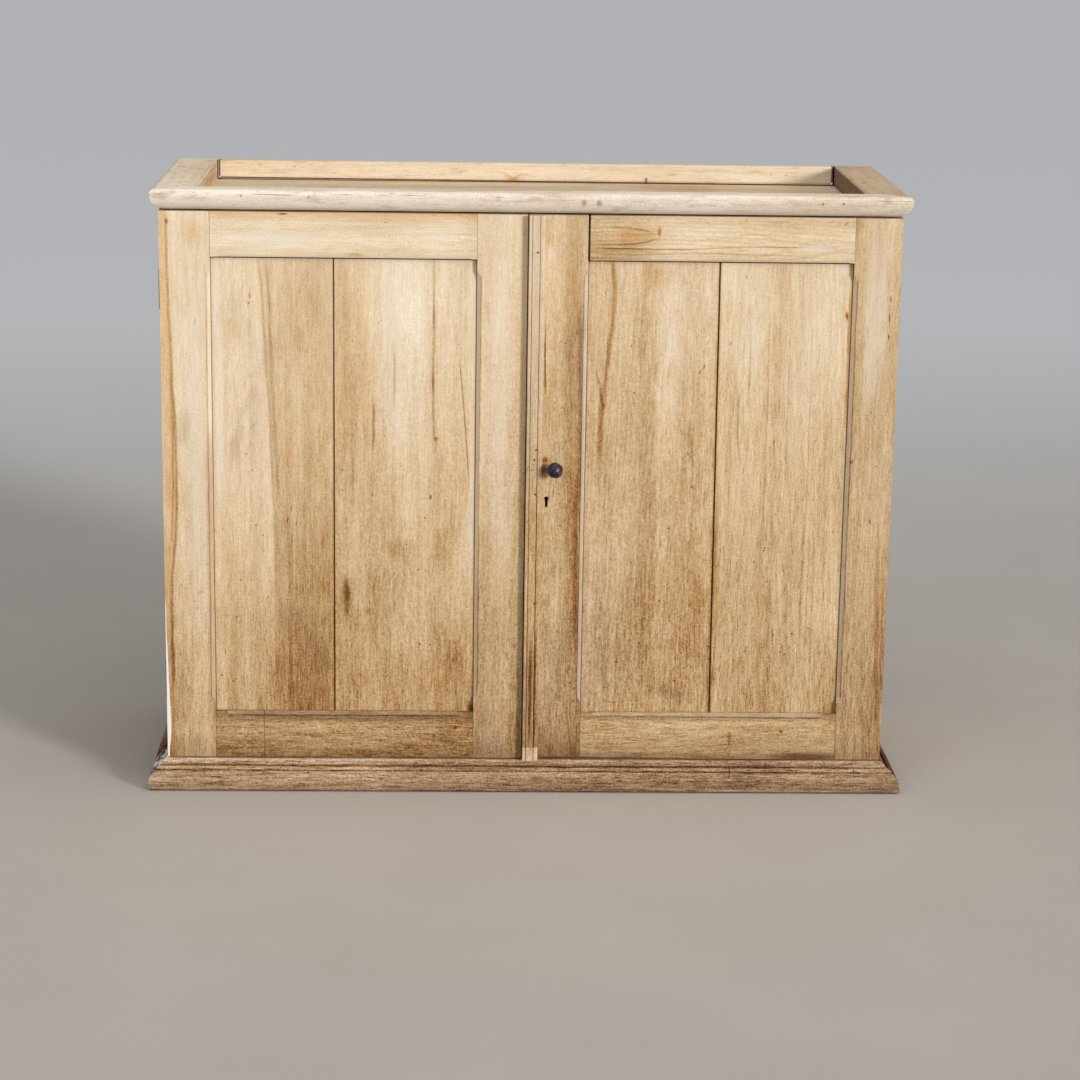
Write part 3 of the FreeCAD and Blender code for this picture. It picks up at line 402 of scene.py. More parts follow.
# %% The board
class Board:
    """A finish of wood that runs along one axis, with numbers for its tone and stains."""

    def __init__(self, name, along, seed, levels, wood, colours=STRIPPED, rings=None):
        finish = Finish(name)
        self.finish = finish
        self.colours = colours
        self.seed = seed * 3.7
        axes = {"up": (finish.x, finish.z, finish.y), "level": (finish.z, finish.x, finish.y),
                "deep": (finish.x, finish.y, finish.z), "up_side": (finish.y, finish.z, finish.x)}
        self.across, self.along, self.deep = axes[along]
        self.flat = finish.vector(self.across, self.along, 0.0)
        self.wander = (self.pattern(5, 1.1, 0, 1) - 0.5) * 2
        self.bent = self.across + self.wander * 0.012
        self.mottle = self.pattern(36, 13, 1, 3)
        self.streaks = self.pattern(150, 6, 2, 3, self.bent)
        self.lines = self.pattern(420, 38, 3, 2, self.bent)
        self.pore = self.pattern(620, 60, 4, 1, self.bent).fade(0.60, 0.76)
        speck = self.pattern(260, 120, 5, 1).fade(0.70, 0.80)
        low = finish.z.fade(DOOR_FOOT, 0.50)
        high = finish.z.fade(0.45, DOOR_TOP)
        tone = low * (levels[1] - levels[0]) + high * (levels[2] - levels[1]) + levels[0]
        tone = tone + (self.pattern(26, 0.7, 6, 3, self.bent) - 0.5) * wood["bands"]
        tone = tone + (self.pattern(8, 2.6, 7, 3) - 0.5) * wood["patches"] + (self.mottle - 0.5) * 0.2
        fine = (self.streaks - 0.5) * wood["streaks"] + (self.lines - 0.5) * wood["lines"]
        fine = fine + (self.pattern(330, 290, 8, 2) - 0.5) * wood["grit"] - self.pore * wood["pores"]
        fine = fine - speck * 0.25
        tone = tone + fine * (1.35 - low * 0.25 - high * 0.25)
        if rings:
            tone = tone - self.rings(*rings)
        self.tone = tone
        self.bleach = self.pattern(9, 1.4, 9, 2).fade(0.50, 0.78) * 0.14
        self.heat = self.pattern(12, 1.9, 10, 2).fade(0.48, 0.76) * 0.14
        self.dirt = self.pattern(16, 7, 11, 3).fade(0.58, 0.80) * 0.3
        self.black = self.pore * wood["pores"] * 0.1
        self.overlays = []

    def pattern(self, across_scale, along_scale, turn, detail, across=None):
        """Noise drawn out along the grain; each turn of it comes from another place."""
        across = self.across if across is None else across
        shift = self.seed + turn * 1.9
        place = self.finish.vector(across * across_scale + shift, self.deep * across_scale + shift * 0.7,
                                   self.along * along_scale + shift * 1.3)
        return self.finish.noise(place, detail, 0.6)

    def rings(self, width, strength, centre, middle, tilt, bury):
        """Growth rings round a pith that is tilted through the board: arches on its face."""
        off = self.bent - centre + (self.mottle - 0.5) * 0.010
        sunk = (self.along - middle) * tilt + bury
        radius = (off * off + sunk * sunk).math("SQRT", off * off + sunk * sunk)
        turn = radius / width + self.wander * 1.6 + (self.streaks - 0.5) * 0.9
        share = turn.math("FRACT", turn)
        return share.fade(0.30, 0.95) * share.fade(1.0, 0.96) * strength * (self.mottle * 1.6)

    def brown(self, mask, strength):
        """Lowers the tone, as brown wood or an old stain does. A negative strength lightens."""
        self.tone = self.tone - mask * strength

    def pale(self, mask, strength):
        """Bleached towards a greyish cream."""
        self.bleach = self.bleach + mask * strength

    def warm(self, mask, strength):
        """Warmed towards orange."""
        self.heat = self.heat + mask * strength

    def heart(self, mask, brown, warm):
        """Heartwood, which is browner and warmer at once."""
        self.brown(mask, brown)
        self.warm(mask, warm)

    def grime_and_shade(self, mask, strength):
        """Dulled by a film of dirt, and in a few places darkened as painted shade."""
        self.dirt = self.dirt + mask * strength

    def crack(self, mask, strength=0.9):
        """A black line or hole, and in some places black painted shade in a gap or under an overhang."""
        self.black = self.black + mask * strength

    def over(self, colour, mask):
        """A colour laid over the wood where the mask is one."""
        self.overlays.append((colour, mask))

    def done(self, rough=0.60, bump=0.38):
        """Colour from the numbers, then roughness and relief from the same patterns."""
        finish = self.finish
        colour = finish.ramp(self.tone.clamped(), self.colours)
        colour = finish.mix(colour, BLEACHED, self.bleach.clamped())
        colour = finish.mix(colour, ORANGE, self.heat.clamped(), "MULTIPLY")
        colour = finish.mix(colour, GRIME_AND_SHADE, self.dirt.clamped(), "MULTIPLY")
        for above, mask in self.overlays:
            colour = finish.mix(colour, above, mask)
        black = self.black.clamped()
        colour = finish.mix(colour, CRACK_AND_SHADE, black)
        height = self.lines * 0.6 + self.streaks * 0.4 - self.pore * 0.7 - black * 1.5
        finish.link(Base_Color=colour, Roughness=(rough - (self.streaks - 0.5) * 0.3 + self.pore * 0.12),
                    Specular_IOR_Level=0.0, Normal=finish.relief(height, bump, 0.0007))
        return finish.material


def dress(material, *nodes):
    """Gives one finish to every slot of some model pieces."""
    for node in nodes:
        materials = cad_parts[node].data.materials
        if not materials:
            materials.append(material)
        for index in range(len(materials)):
            materials[index] = material


# %% [markdown]
# ### Marks
# A mark is a mask: one where it lies, nothing elsewhere, with a rim made ragged by the board's own
# mottle. Threads of brown grain follow a smooth curve through a few measured places. Ovals make
# knots and stains, small dots make nail holes and worm holes, bands make broad stripes, and edges
# make the dirt, and in a few places the painted shade, along the places where two pieces meet.

# %% Lines and threads
def drawn(board, points):
    """Where a drawn line stands across the board: a smooth curve through (across, along) places."""
    across, along = np.array(sorted(points, key=lambda point: point[1])).T
    left, wide = float(across.min()), float(np.ptp(across)) + 0.0001
    low, tall = float(along.min()), float(np.ptp(along))
    curve = zip((along - low) / tall, (across - left) / wide)
    places = [(float(share), float(side)) for share, side in curve]
    share = ((board.along - low) / tall).clamped()
    return board.finish.node("ShaderNodeFloatCurve", {"points": places}, {"Value": share}) * wide + left


def thread(board, points, width, fade=0.03):
    """A thread of grain along a drawn line, thinning out at its ends."""
    heights = [point[1] for point in points]
    off = abs(board.across - drawn(board, points) + (board.mottle - 0.5) * width * 1.4)
    ends = (board.along.fade(min(heights) - fade, min(heights) + fade)
            * board.along.fade(max(heights) + fade, max(heights) - fade))
    return off.fade(width, width * 0.1) * ends * (board.mottle * 0.9 + 0.55)


def beside(board, points, reach, side=1, sharp=0.003):
    """One side of a drawn line: full beside it, then less and less over a reach."""
    off = (board.across - drawn(board, points) + (board.mottle - 0.5) * 0.004) * side
    return off.fade(-sharp, sharp) * (1 - off.fade(0, reach) * 0.8)


# %% Knots, holes and cuts
def oval(board, place, size, turn=0, ragged=0.9):
    """A soft oval of a half width and a half length, turned by some degrees."""
    near = board.finish.node("ShaderNodeMapping", {"vector_type": "TEXTURE"},
                             {"Vector": board.flat, "Location": (*place, 0),
                              "Rotation": (0, 0, math.radians(turn)), "Scale": (*size, 1)})
    far = board.finish.node("ShaderNodeVectorMath", {"operation": "LENGTH"}, {0: near}, 1)
    if ragged:
        far = far + (board.mottle - 0.5) * ragged
    return far.fade(1.0, 0.15)


def dots(board, places, radius=0.0016):
    """Small round holes."""
    mask = 0.0
    for place in places:
        far = board.finish.node("ShaderNodeVectorMath", {"operation": "DISTANCE"},
                                {0: board.flat, 1: (*place, 0)}, 1)
        mask = mask + far.fade(radius, radius * 0.4)
    return mask


def slit(board, place, length, turn=0, width=0.0011):
    """A short cut or split."""
    return oval(board, place, (width, length / 2), turn, 0)


# %% Stripes and edges
def band(board, sides, ends, soft=0.006, run=0.05):
    """A stripe between two places across and two along, with soft sides that waver."""
    across = board.bent + (board.mottle - 0.5) * soft
    left, right = sides
    low, high = ends
    return (across.fade(left - soft, left + soft) * across.fade(right + soft, right - soft)
            * board.along.fade(low - run, low + run) * board.along.fade(high + run, high - run))


def edge(coordinate, level, reach):
    """Full at a level of a coordinate, and thinning out over a reach on both sides."""
    return abs(coordinate - level).fade(reach, 0)


def line(coordinate, level, width):
    """A crisp line."""
    return abs(coordinate - level).fade(width, width * 0.45)


# %% [markdown]
# ## Left door
# The paler of the two doors has a frame of four members round a panel of two boards. The chamfer
# along the frame's inner edge has been scrubbed to another tone. It is also painted lighter where
# it faces away from the main lamp or down, and darker where it faces the lamp, to even out its
# shading. It could be a finish of its own on its own faces. Here the shader finds it by the way
# that it faces, so the grain runs on across it.

# %% Openings of the two frames
def sight(side):
    """Where a door's frame ends and its panel begins: left, right, foot and top."""
    hinge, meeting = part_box(side + "_door_hinge_stile"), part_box(side + "_door_meeting_stile")
    first, second = (hinge, meeting) if side == "left" else (meeting, hinge)
    return (first[1][0], second[0][0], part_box(side + "_door_bottom_rail")[1][2],
            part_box(side + "_door_top_rail")[0][2])


LEFT = sight("left")
RIGHT = sight("right")
CHAMFER_LEG = 0.006
CHAMFER_STOP = 0.022
LEFT_RUN, RIGHT_RUN = ((opening[2] + CHAMFER_STOP, opening[3] - CHAMFER_STOP) for opening in (LEFT, RIGHT))
LEFT_SPAN, RIGHT_SPAN = ((opening[0] + CHAMFER_STOP, opening[1] - CHAMFER_STOP) for opening in (LEFT, RIGHT))
print("left opening", [round(value, 4) for value in LEFT])
print("right opening", [round(value, 4) for value in RIGHT])


# %% What the members of a frame share
def chamfer(board, lighter, bleached):
    """The chamfer, found by the way that it faces: in front, and to a side or up or down as well."""
    finish = board.finish
    aslant = (abs(finish.facing_x) + abs(finish.facing_z)).fade(0.4, 0.6)
    mask = aslant * (-finish.facing_y).fade(0.4, 0.6)
    # Scrubbed paler, and painted light: lifted where the chamfer faces away from the main lamp or down,
    # lowered where it faces the lamp.
    board.brown(mask, -lighter)
    board.pale(mask, bleached)


def behind_frame(board, opening):
    """The dark line where a panel runs into its frame, with a soft band of dirt and painted shade beside it,
    darkest under the top rail and faint at the foot.
    """
    finish = board.finish
    left, right, foot, top = opening
    for coordinate, level, depth in ((finish.x, left, 0.65), (finish.x, right, 0.75),
                                     (finish.z, foot, 0.15), (finish.z, top - 0.0012, 1.0)):
        # Painted shade: the line and the band are strongest under the top rail and weakest at the foot.
        board.grime_and_shade(edge(coordinate, level, 0.008) * (board.mottle * 1.3), depth * 0.4)
        board.crack(line(coordinate, level, 0.0017), depth)


def member(name, along, seed, levels, wood, chamfer_scrub_and_light, rings=None):
    """A frame member's board with its chamfer, scrubbed paler and painted lighter where it faces away from
    the main lamp and darker where it faces it, and the dirt at the foot of the door.
    """
    board = Board(name, along, seed, levels, wood, rings=rings)
    chamfer(board, *chamfer_scrub_and_light)
    board.grime_and_shade(edge(board.finish.z, DOOR_FOOT, 0.05) * (board.mottle * 1.4), 0.5)
    return board


def arris(board, place, ends):
    """The dirty outer edge of a chamfer, between the places along the board where it runs out."""
    low, high = ends
    along = board.along.fade(low, low + 0.012) * board.along.fade(high, high - 0.012)
    wavering = board.across + (board.mottle - 0.5) * 0.004
    board.brown(line(wavering, place, 0.0016) * along, 0.30)


def shoulders(board, opening, ends=(0, 1)):
    """The thin dark lines where a rail meets its stiles."""
    for end in ends:
        board.crack(line(board.finish.x, opening[end], 0.0011), 0.6)


# %% [markdown]
# ### Left stiles
# The hinge stile is cut beside the heart of the tree: a wavy brown line runs down it, and the wood
# outside the line is warmer. Old white paint clings to its outer edge, low down. Such a line could
# be painted in a picture. A curve through a few places does the same and stays sharp from close by.

# %% Left hinge stile
LEFT_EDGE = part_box("left_door_hinge_stile")[0][0]
# Its chamfer faces the main lamp, so it is painted a little darker as well as bleached.
stile = member("left_hinge_stile_wood", "up", 1.0, (0.46, 0.70, 0.79), SMOOTH_WOOD, (-0.10, 0.36))
HINGE_THREAD = [(-0.5895, 0.966), (-0.5879, 0.922), (-0.5864, 0.825), (-0.5822, 0.694), (-0.5779, 0.580),
                (-0.5785, 0.480), (-0.5840, 0.390), (-0.5886, 0.323), (-0.5877, 0.185)]
stile.heart(beside(stile, HINGE_THREAD, 0.030, -1), 0.05, 0.55)
stile.brown(thread(stile, HINGE_THREAD, 0.0042), 0.30)
stile.brown(thread(stile, [(-0.5860, 0.70), (-0.5832, 0.60), (-0.5845, 0.50), (-0.5905, 0.40)], 0.0035), 0.18)
stile.brown(oval(stile, (-0.5866, 0.9527), (0.0045, 0.007)), 0.35)
stile.heart(oval(stile, (-0.5461, 0.937), (0.024, 0.040)), 0.08, 0.35)
stile.pale(band(stile, (-0.560, -0.533), (0.30, 0.86), 0.012, 0.12), 0.30)
arris(stile, LEFT[0] - CHAMFER_LEG, LEFT_RUN)
stile.brown(slit(stile, (-0.5435, 0.7911), 0.016, -8, 0.0016), 0.4)
stile.brown(slit(stile, (-0.5617, 0.4599), 0.012, 15, 0.0014), 0.3)
stile.brown(oval(stile, (-0.5405, 0.337), (0.010, 0.005), 20), 0.14)
stile.warm(oval(stile, (-0.5349, 0.2685), (0.0035, 0.005)), 0.9)
stile.crack(dots(stile, [(-0.5617, 0.4195), (-0.5710, 0.2360), (-0.5485, 0.1620), (-0.5590, 0.0900)],
                 0.0011), 0.6)
stile.grime_and_shade(oval(stile, (-0.5520, 0.080), (0.022, 0.018)), 0.20)
stile.grime_and_shade(band(stile, (-0.529, -0.515), (0.12, 0.60), 0.004), 0.25)
stile.heart(band(stile, (-0.531, -0.515), (0.10, 0.60), 0.004), 0.09, 0.30)
ragged_edge = (stile.finish.z.fade(0.32, 0.11) * 0.0060 + (stile.mottle - 0.5) * 0.005
               - stile.finish.z.fade(0.10, 0.055) * 0.003)
stile.over(WHITE_PAINT, (stile.finish.x - LEFT_EDGE - ragged_edge).fade(0.0006, -0.0004)
           * stile.finish.z.fade(0.34, 0.30))
dress(stile.done(), "left_door_hinge_stile")
print("left hinge stile dressed, from the edge at", round(LEFT_EDGE, 4))

# %% Left meeting stile
# Its chamfer faces away from the main lamp, so it is painted much lighter.
stile = member("left_meeting_stile_wood", "up", 2.0, (0.43, 0.59, 0.73), SMOOTH_WOOD, (0.45, 0.0))
# Painted light: the chamfer lies in the shade of the main lamp and is warmed so it keeps the tone of lit
# wood.
stile.warm(band(stile, (LEFT[1] - 0.002, LEFT[1] + CHAMFER_LEG), LEFT_RUN, 0.002), 0.45)
stile.pale(band(stile, (-0.068, -0.036), (0.35, 0.90), 0.012, 0.15), 0.20)
arris(stile, LEFT[1] + CHAMFER_LEG, LEFT_RUN)
stile.brown(band(stile, (-0.030, 0.0), (0.05, 0.95), 0.010), 0.05)
stile.grime_and_shade(edge(stile.finish.z, DOOR_FOOT, 0.14) * (stile.mottle * 1.2), 0.25)
stile.crack(dots(stile, [(-0.0669, 0.4926), (-0.058, 0.4349), (-0.0494, 0.4043), (-0.0370, 0.640)],
                 0.0011), 0.6)
dress(stile.done(), "left_door_meeting_stile")
print("left meeting stile dressed")

# %% [markdown]
# ### Left rails
# The top rail is rubbed pale, and the bottom rail is brown from wet floors. Their grain runs level.
# So the same board is asked for with its grain level, and its marks give the height first and then
# the place to the side. A thin dark line is left where a rail meets a stile.

# %% Left top rail
# Its chamfer faces down, into shade, so it is painted much lighter and paler.
rail = member("left_top_rail_wood", "level", 3.0, (0.86, 0.86, 0.86), SMOOTH_WOOD, (0.30, 0.60))
shoulders(rail, LEFT)
rail.warm(edge(rail.finish.z, DOOR_TOP, 0.020), 0.40)
rail.brown(edge(rail.finish.z, DOOR_TOP, 0.016), 0.12)
rail.pale(oval(rail, (0.925, -0.42), (0.018, 0.10)), 0.45)
rail.pale(oval(rail, (0.938, -0.17), (0.014, 0.08)), 0.25)
rail.brown(oval(rail, (0.966, -0.401), (0.0022, 0.012), 0, 0.4), 0.6)
rail.brown(oval(rail, (0.9010, -0.284), (0.0060, 0.020)), 0.20)
rail.brown(oval(rail, (0.9540, -0.236), (0.0016, 0.005), 0, 0.3), 0.4)
rail.brown(edge(rail.finish.x, LEFT[1], 0.040) * (rail.mottle * 1.4), 0.16)
dress(rail.done(), "left_door_top_rail")
print("left top rail dressed")

# %% Left bottom rail
rail = member("left_bottom_rail_wood", "level", 4.0, (0.33, 0.33, 0.33), OPEN_WOOD, (0.14, 0.10))
shoulders(rail, LEFT)
rail.grime_and_shade(rail.finish.z.fade(LEFT[2] - 0.026, LEFT[2] - 0.009) * (rail.mottle * 1.5 + 0.1), 0.75)
arris(rail, LEFT[2] - CHAMFER_LEG, LEFT_SPAN)
rail.crack(line(rail.finish.x, -0.4379, 0.0010), 0.45)
rail.grime_and_shade(dots(rail, [(0.091, -0.1536), (0.1035, -0.1184)], 0.004), 0.6)
rail.grime_and_shade(oval(rail, (0.0788, -0.1266), (0.006, 0.016)), 0.5)
rail.brown(oval(rail, (0.070, -0.30), (0.007, 0.12)), -0.12)
rail.brown(oval(rail, (0.063, -0.47), (0.006, 0.035)), -0.10)
dress(rail.done(), "left_door_bottom_rail")
print("left bottom rail dressed")

# %% [markdown]
# ### Left panel
# Two boards meet in a crack. The outer one is cut through the edge of the heart: cream on one side
# of a wavy line, brown on the other. Two finishes would meet in a hard line. Marks on one board
# leave both sides the same grain, as in the real one.

# %% Left panel, outer board
JOINT = 0.0016
LEFT_JOINT = -0.3200
HEART_LINE = [(-0.4445, 0.897), (-0.4386, 0.858), (-0.4357, 0.825), (-0.4331, 0.760), (-0.4303, 0.710),
              (-0.4245, 0.627), (-0.4220, 0.544), (-0.4194, 0.459), (-0.4183, 0.391), (-0.4178, 0.253),
              (-0.4171, 0.130)]
SECOND_LINE = [(-0.4345, 0.897), (-0.4259, 0.842), (-0.4234, 0.760), (-0.4194, 0.661), (-0.4152, 0.577),
               (-0.4107, 0.500)]

panel = Board("left_outer_panel_wood", "up", 5.0, (0.43, 0.62, 0.77), SMOOTH_WOOD)
behind_frame(panel, LEFT)
lower = panel.finish.z.fade(0.60, 0.36)
panel.brown(beside(panel, HEART_LINE, 0.180), 0.11)
panel.brown((beside(panel, HEART_LINE, 0.180) * 2.0).clamped() * lower, 0.15)
panel.brown(thread(panel, HEART_LINE, 0.0045) * (1 - lower), 0.20)
panel.brown(band(panel, (-0.4175, -0.3960), (0.08, 0.40), 0.004, 0.08), -0.24)
panel.brown(thread(panel, SECOND_LINE, 0.0050), 0.20)
LOW_LINE = [(-0.4120, 0.40), (-0.4059, 0.288), (-0.4048, 0.218), (-0.4104, 0.13)]
panel.brown(thread(panel, LOW_LINE, 0.0085), 0.04)
panel.warm(thread(panel, LOW_LINE, 0.0110), 0.20)
panel.pale(band(panel, (LEFT[0], -0.504), (0.50, 0.89), 0.006, 0.05), 0.40)
panel.brown(band(panel, (-0.507, -0.470), (0.50, 0.84), 0.014, 0.08), -0.08)
panel.warm(oval(panel, (-0.4831, 0.772), (0.018, 0.030)), 0.22)
panel.brown(oval(panel, (-0.4831, 0.772), (0.016, 0.026)), 0.05)
panel.brown(slit(panel, (-0.4559, 0.832), 0.016, 6, 0.0020)
            + slit(panel, (-0.4572, 0.820), 0.010, -35, 0.0018), 0.5)
panel.brown(slit(panel, (-0.3905, 0.4796), 0.020, -12, 0.0014)
            + slit(panel, (-0.3970, 0.4592), 0.014, -14, 0.0014), 0.42)
panel.crack(dots(panel, [(-0.4822, 0.2925)], 0.0017), 0.9)
panel.brown(dots(panel, [(-0.5035, 0.4431), (-0.4748, 0.3562), (-0.4893, 0.1813), (-0.4378, 0.4334),
                         (-0.5084, 0.1917), (-0.4305, 0.3273), (-0.4491, 0.4503), (-0.4640, 0.5700)],
                 0.0022), 0.35)
panel.warm(oval(panel, (-0.3956, 0.569), (0.012, 0.05)), 0.4)
panel.crack(line(panel.finish.x, LEFT_JOINT, JOINT))
panel.brown(edge(panel.finish.x, LEFT_JOINT, 0.0045) * (panel.mottle * 1.5), 0.22)
panel.warm(edge(panel.finish.x, LEFT_JOINT, 0.0045), 0.60)
dress(panel.done(), "left_door_outer_panel")
print("outer board dressed along", len(HEART_LINE), "places of the heart line")

# %% Left panel, inner board
panel = Board("left_inner_panel_wood", "up", 6.0, (0.40, 0.60, 0.79), SMOOTH_WOOD)
behind_frame(panel, LEFT)
panel.warm(band(panel, (-0.315, -0.250), (0.55, 0.89), 0.012, 0.1), 0.25)
panel.brown(band(panel, (-0.315, -0.262), (0.52, 0.89), 0.015, 0.1), 0.08)
panel.pale(band(panel, (-0.236, -0.206), (0.62, 0.88), 0.012, 0.08), 0.30)
panel.brown(band(panel, (-0.240, -0.195), (0.45, 0.68), 0.015, 0.08), -0.06)
panel.pale(band(panel, (-0.099, LEFT[1]), (0.40, 0.89), 0.006, 0.08), 0.35)
panel.brown(thread(panel, [(-0.1581, 0.892), (-0.1574, 0.78), (-0.1586, 0.69), (-0.1532, 0.59)],
                   0.0036), 0.26)
panel.brown(oval(panel, (-0.1580, 0.800), (0.0036, 0.028))
            + oval(panel, (-0.1586, 0.695), (0.0036, 0.035)), 0.20)
panel.brown(oval(panel, (-0.1532, 0.598), (0.0045, 0.006)), 0.35)
panel.brown(thread(panel, [(-0.2223, 0.745), (-0.2215, 0.70), (-0.2221, 0.66)], 0.0030, 0.02), 0.35)
panel.brown(thread(panel, [(-0.2575, 0.660), (-0.2550, 0.62), (-0.2564, 0.585)], 0.0036, 0.02), 0.30)
panel.brown(thread(panel, [(-0.1148, 0.727), (-0.1094, 0.663), (-0.1022, 0.580), (-0.0985, 0.52)],
                   0.0020, 0.02), 0.34)
panel.brown(oval(panel, (-0.1617, 0.500), (0.0035, 0.0065), 0, 0.4), 0.45)
panel.brown(dots(panel, [(-0.1706, 0.4644), (-0.1826, 0.3755), (-0.1790, 0.2480), (-0.2480, 0.7900),
                         (-0.1620, 0.2470), (-0.2060, 0.1650), (-0.2900, 0.7600)], 0.0020), 0.40)
panel.crack(dots(panel, [(-0.1706, 0.4644), (-0.1000, 0.3125)], 0.0012), 0.7)
panel.brown(oval(panel, (-0.3000, 0.325), (0.011, 0.055), 3), 0.24)
panel.grime_and_shade(oval(panel, (-0.2995, 0.345), (0.006, 0.030), 4), 0.55)
panel.brown(oval(panel, (-0.2613, 0.303), (0.008, 0.010), 25), 0.16)
panel.brown(slit(panel, (-0.3010, 0.460), 0.020, -25, 0.0012), 0.35)
panel.warm(oval(panel, (-0.1491, 0.180), (0.022, 0.008)), 0.40)
panel.brown(oval(panel, (-0.2117, 0.410), (0.045, 0.030)), 0.10)
panel.brown(oval(panel, (-0.1500, 0.410), (0.020, 0.060)), 0.08)
panel.brown(oval(panel, (-0.1200, 0.230), (0.030, 0.050)), 0.08)
panel.grime_and_shade(oval(panel, (-0.0920, 0.137), (0.010, 0.014)), 0.9)
panel.crack(line(panel.finish.x, LEFT_JOINT, JOINT))
dress(panel.done(), "left_door_inner_panel")
print("left door dressed")

# %% [markdown]
# ## Right door
# A browner door with open pores, which the same board gives with other numbers. Its meeting stile
# carries the knob, and round it the wood is orange and brown from rust and hands, with the knob's
# shadow painted into the brown at its left. Those two marks lie on the face alone, so they are kept
# off the other sides by the way that the wood faces.

# %% Right meeting stile
# Its chamfer faces the main lamp, so it is painted a little darker as well as bleached.
stile = member("right_meeting_stile_wood", "up", 7.0, (0.33, 0.42, 0.60), OPEN_WOOD, (-0.16, 0.38))
stile.brown(thread(stile, [(0.0800, 0.80), (0.0820, 0.70), (0.0840, 0.60), (0.0849, 0.50)],
                   0.0075, 0.06), 0.22)
stile.heart(thread(stile, [(0.0790, 0.54), (0.0780, 0.45), (0.0800, 0.35), (0.0833, 0.25)],
                   0.0090, 0.06), 0.12, 0.45)
stile.brown(thread(stile, [(0.0235, 0.780), (0.0240, 0.72), (0.0247, 0.68)], 0.0024, 0.03), 0.45)
stile.pale(oval(stile, (0.0290, 0.905), (0.0050, 0.022)), 0.75)
stile.brown(band(stile, (0.020, 0.055), (0.30, 0.92), 0.010, 0.1), -0.10)
stile.heart(band(stile, (0.060, 0.084), (0.24, 0.92), 0.008, 0.1), 0.11, 0.25)
stile.grime_and_shade(edge(stile.finish.z, DOOR_FOOT, 0.10) * (stile.mottle * 1.3), 0.50)
stile.warm(edge(stile.finish.z, DOOR_FOOT, 0.12), 0.25)
arris(stile, RIGHT[0] - CHAMFER_LEG, RIGHT_RUN)
in_front = (-stile.finish.facing_y).fade(0.2, 0.8)
stile.heart(oval(stile, (0.0260, 0.566), (0.009, 0.010), 0, 0.6) * in_front, 0.38, 1.5)
# A dark patch left of the knob: rust and dirt, with the knob's shadow painted in.
stile.grime_and_shade(oval(stile, (0.0250, 0.549), (0.010, 0.016), 0, 0.5) * in_front, 1.0)
stile.brown(dots(stile, [(0.0437, 0.1713), (0.0700, 0.3966), (0.0520, 0.4550), (0.0610, 0.4040),
                         (0.0690, 0.2950), (0.0350, 0.2330), (0.0560, 0.7600)], 0.0017), 0.45)
stile.crack(line(stile.finish.x, RIGHT[0], 0.0016) * stile.finish.z.fade(0.892, 0.897), 0.95)
dress(stile.done(), "right_door_meeting_stile")
print("right meeting stile dressed")

# %% Right hinge stile
# Its chamfer faces away from the main lamp, so it is painted much lighter.
stile = member("right_hinge_stile_wood", "up", 8.0, (0.33, 0.49, 0.54), OPEN_WOOD, (0.32, 0.05))
arris(stile, RIGHT[1] + CHAMFER_LEG, RIGHT_RUN)
stile.pale(band(stile, (0.548, 0.577), (0.70, 0.94), 0.010, 0.1), 0.45)
stile.pale(band(stile, (0.520, 0.600), (0.05, 0.68), 0.010, 0.1), 0.07)
stile.warm(oval(stile, (0.5353, 0.9537), (0.012, 0.016)), 0.35)
stile.brown(slit(stile, (0.5843, 0.8385), 0.016, 3, 0.0015)
            + slit(stile, (0.5835, 0.8073), 0.020, 2, 0.0015)
            + slit(stile, (0.5835, 0.776), 0.014, 0, 0.0015), 0.6)
stile.brown(oval(stile, (0.5305, 0.5669), (0.0040, 0.0045)), 0.45)
stile.brown(oval(stile, (0.5663, 0.4654), (0.0022, 0.0060), 10, 0.4), 0.45)
stile.brown(dots(stile, [(0.5482, 0.4225), (0.5473, 0.2461), (0.5600, 0.6500), (0.5720, 0.5600)],
                 0.0018), 0.45)
stile.warm(band(stile, (0.576, 0.602), (0.05, 0.46), 0.008, 0.1), 0.30)
stile.brown(thread(stile, [(0.5810, 0.44), (0.5830, 0.33), (0.5890, 0.20), (0.5930, 0.07)],
                   0.0060, 0.05), 0.15)
stile.brown(thread(stile, [(0.5900, 0.40), (0.5930, 0.30), (0.5960, 0.18)], 0.0030, 0.05), 0.14)
dress(stile.done(), "right_door_hinge_stile")
print("right hinge stile dressed")

# %% [markdown]
# ### Right rails
# The top rail shows faint arched growth rings, because it was cut nearer to the outside of the log.
# Rings round a tilted pith make such arches by themselves, so none has to be drawn. The end beside
# the meeting stile is darker, and the bottom rail has dirt along its foot.

# %% Right top rail
# Its chamfer faces down, into shade, so it is painted lighter and paler.
rail = member("right_top_rail_wood", "level", 9.0, (0.71, 0.71, 0.71), SMOOTH_WOOD, (0.18, 0.30),
              rings=(0.0062, 0.11, 0.915, 0.42, 0.07, 0.012))
shoulders(rail, RIGHT, (1,))
rail.brown(rail.finish.x.fade(0.235, 0.140) * (rail.mottle * 0.8 + 0.5), 0.24)
rail.brown(oval(rail, (0.937, 0.175), (0.016, 0.045)), 0.10)
rail.warm(oval(rail, (0.935, 0.170), (0.024, 0.070)), 0.45)
rail.brown(thread(rail, [(0.950, 0.125), (0.948, 0.165), (0.941, 0.196)], 0.0022, 0.012), 0.25)
rail.brown(thread(rail, [(0.922, 0.110), (0.924, 0.160), (0.932, 0.198)], 0.0022, 0.012), 0.25)
rail.brown(oval(rail, (0.944, 0.2050), (0.012, 0.0045)), 0.32)
rail.warm(thread(rail, [(0.936, 0.330), (0.941, 0.355), (0.935, 0.385)], 0.0022, 0.012), 0.8)
rail.brown(thread(rail, [(0.917, 0.10), (0.916, 0.24), (0.921, 0.36), (0.918, 0.50)], 0.0022, 0.03), 0.26)
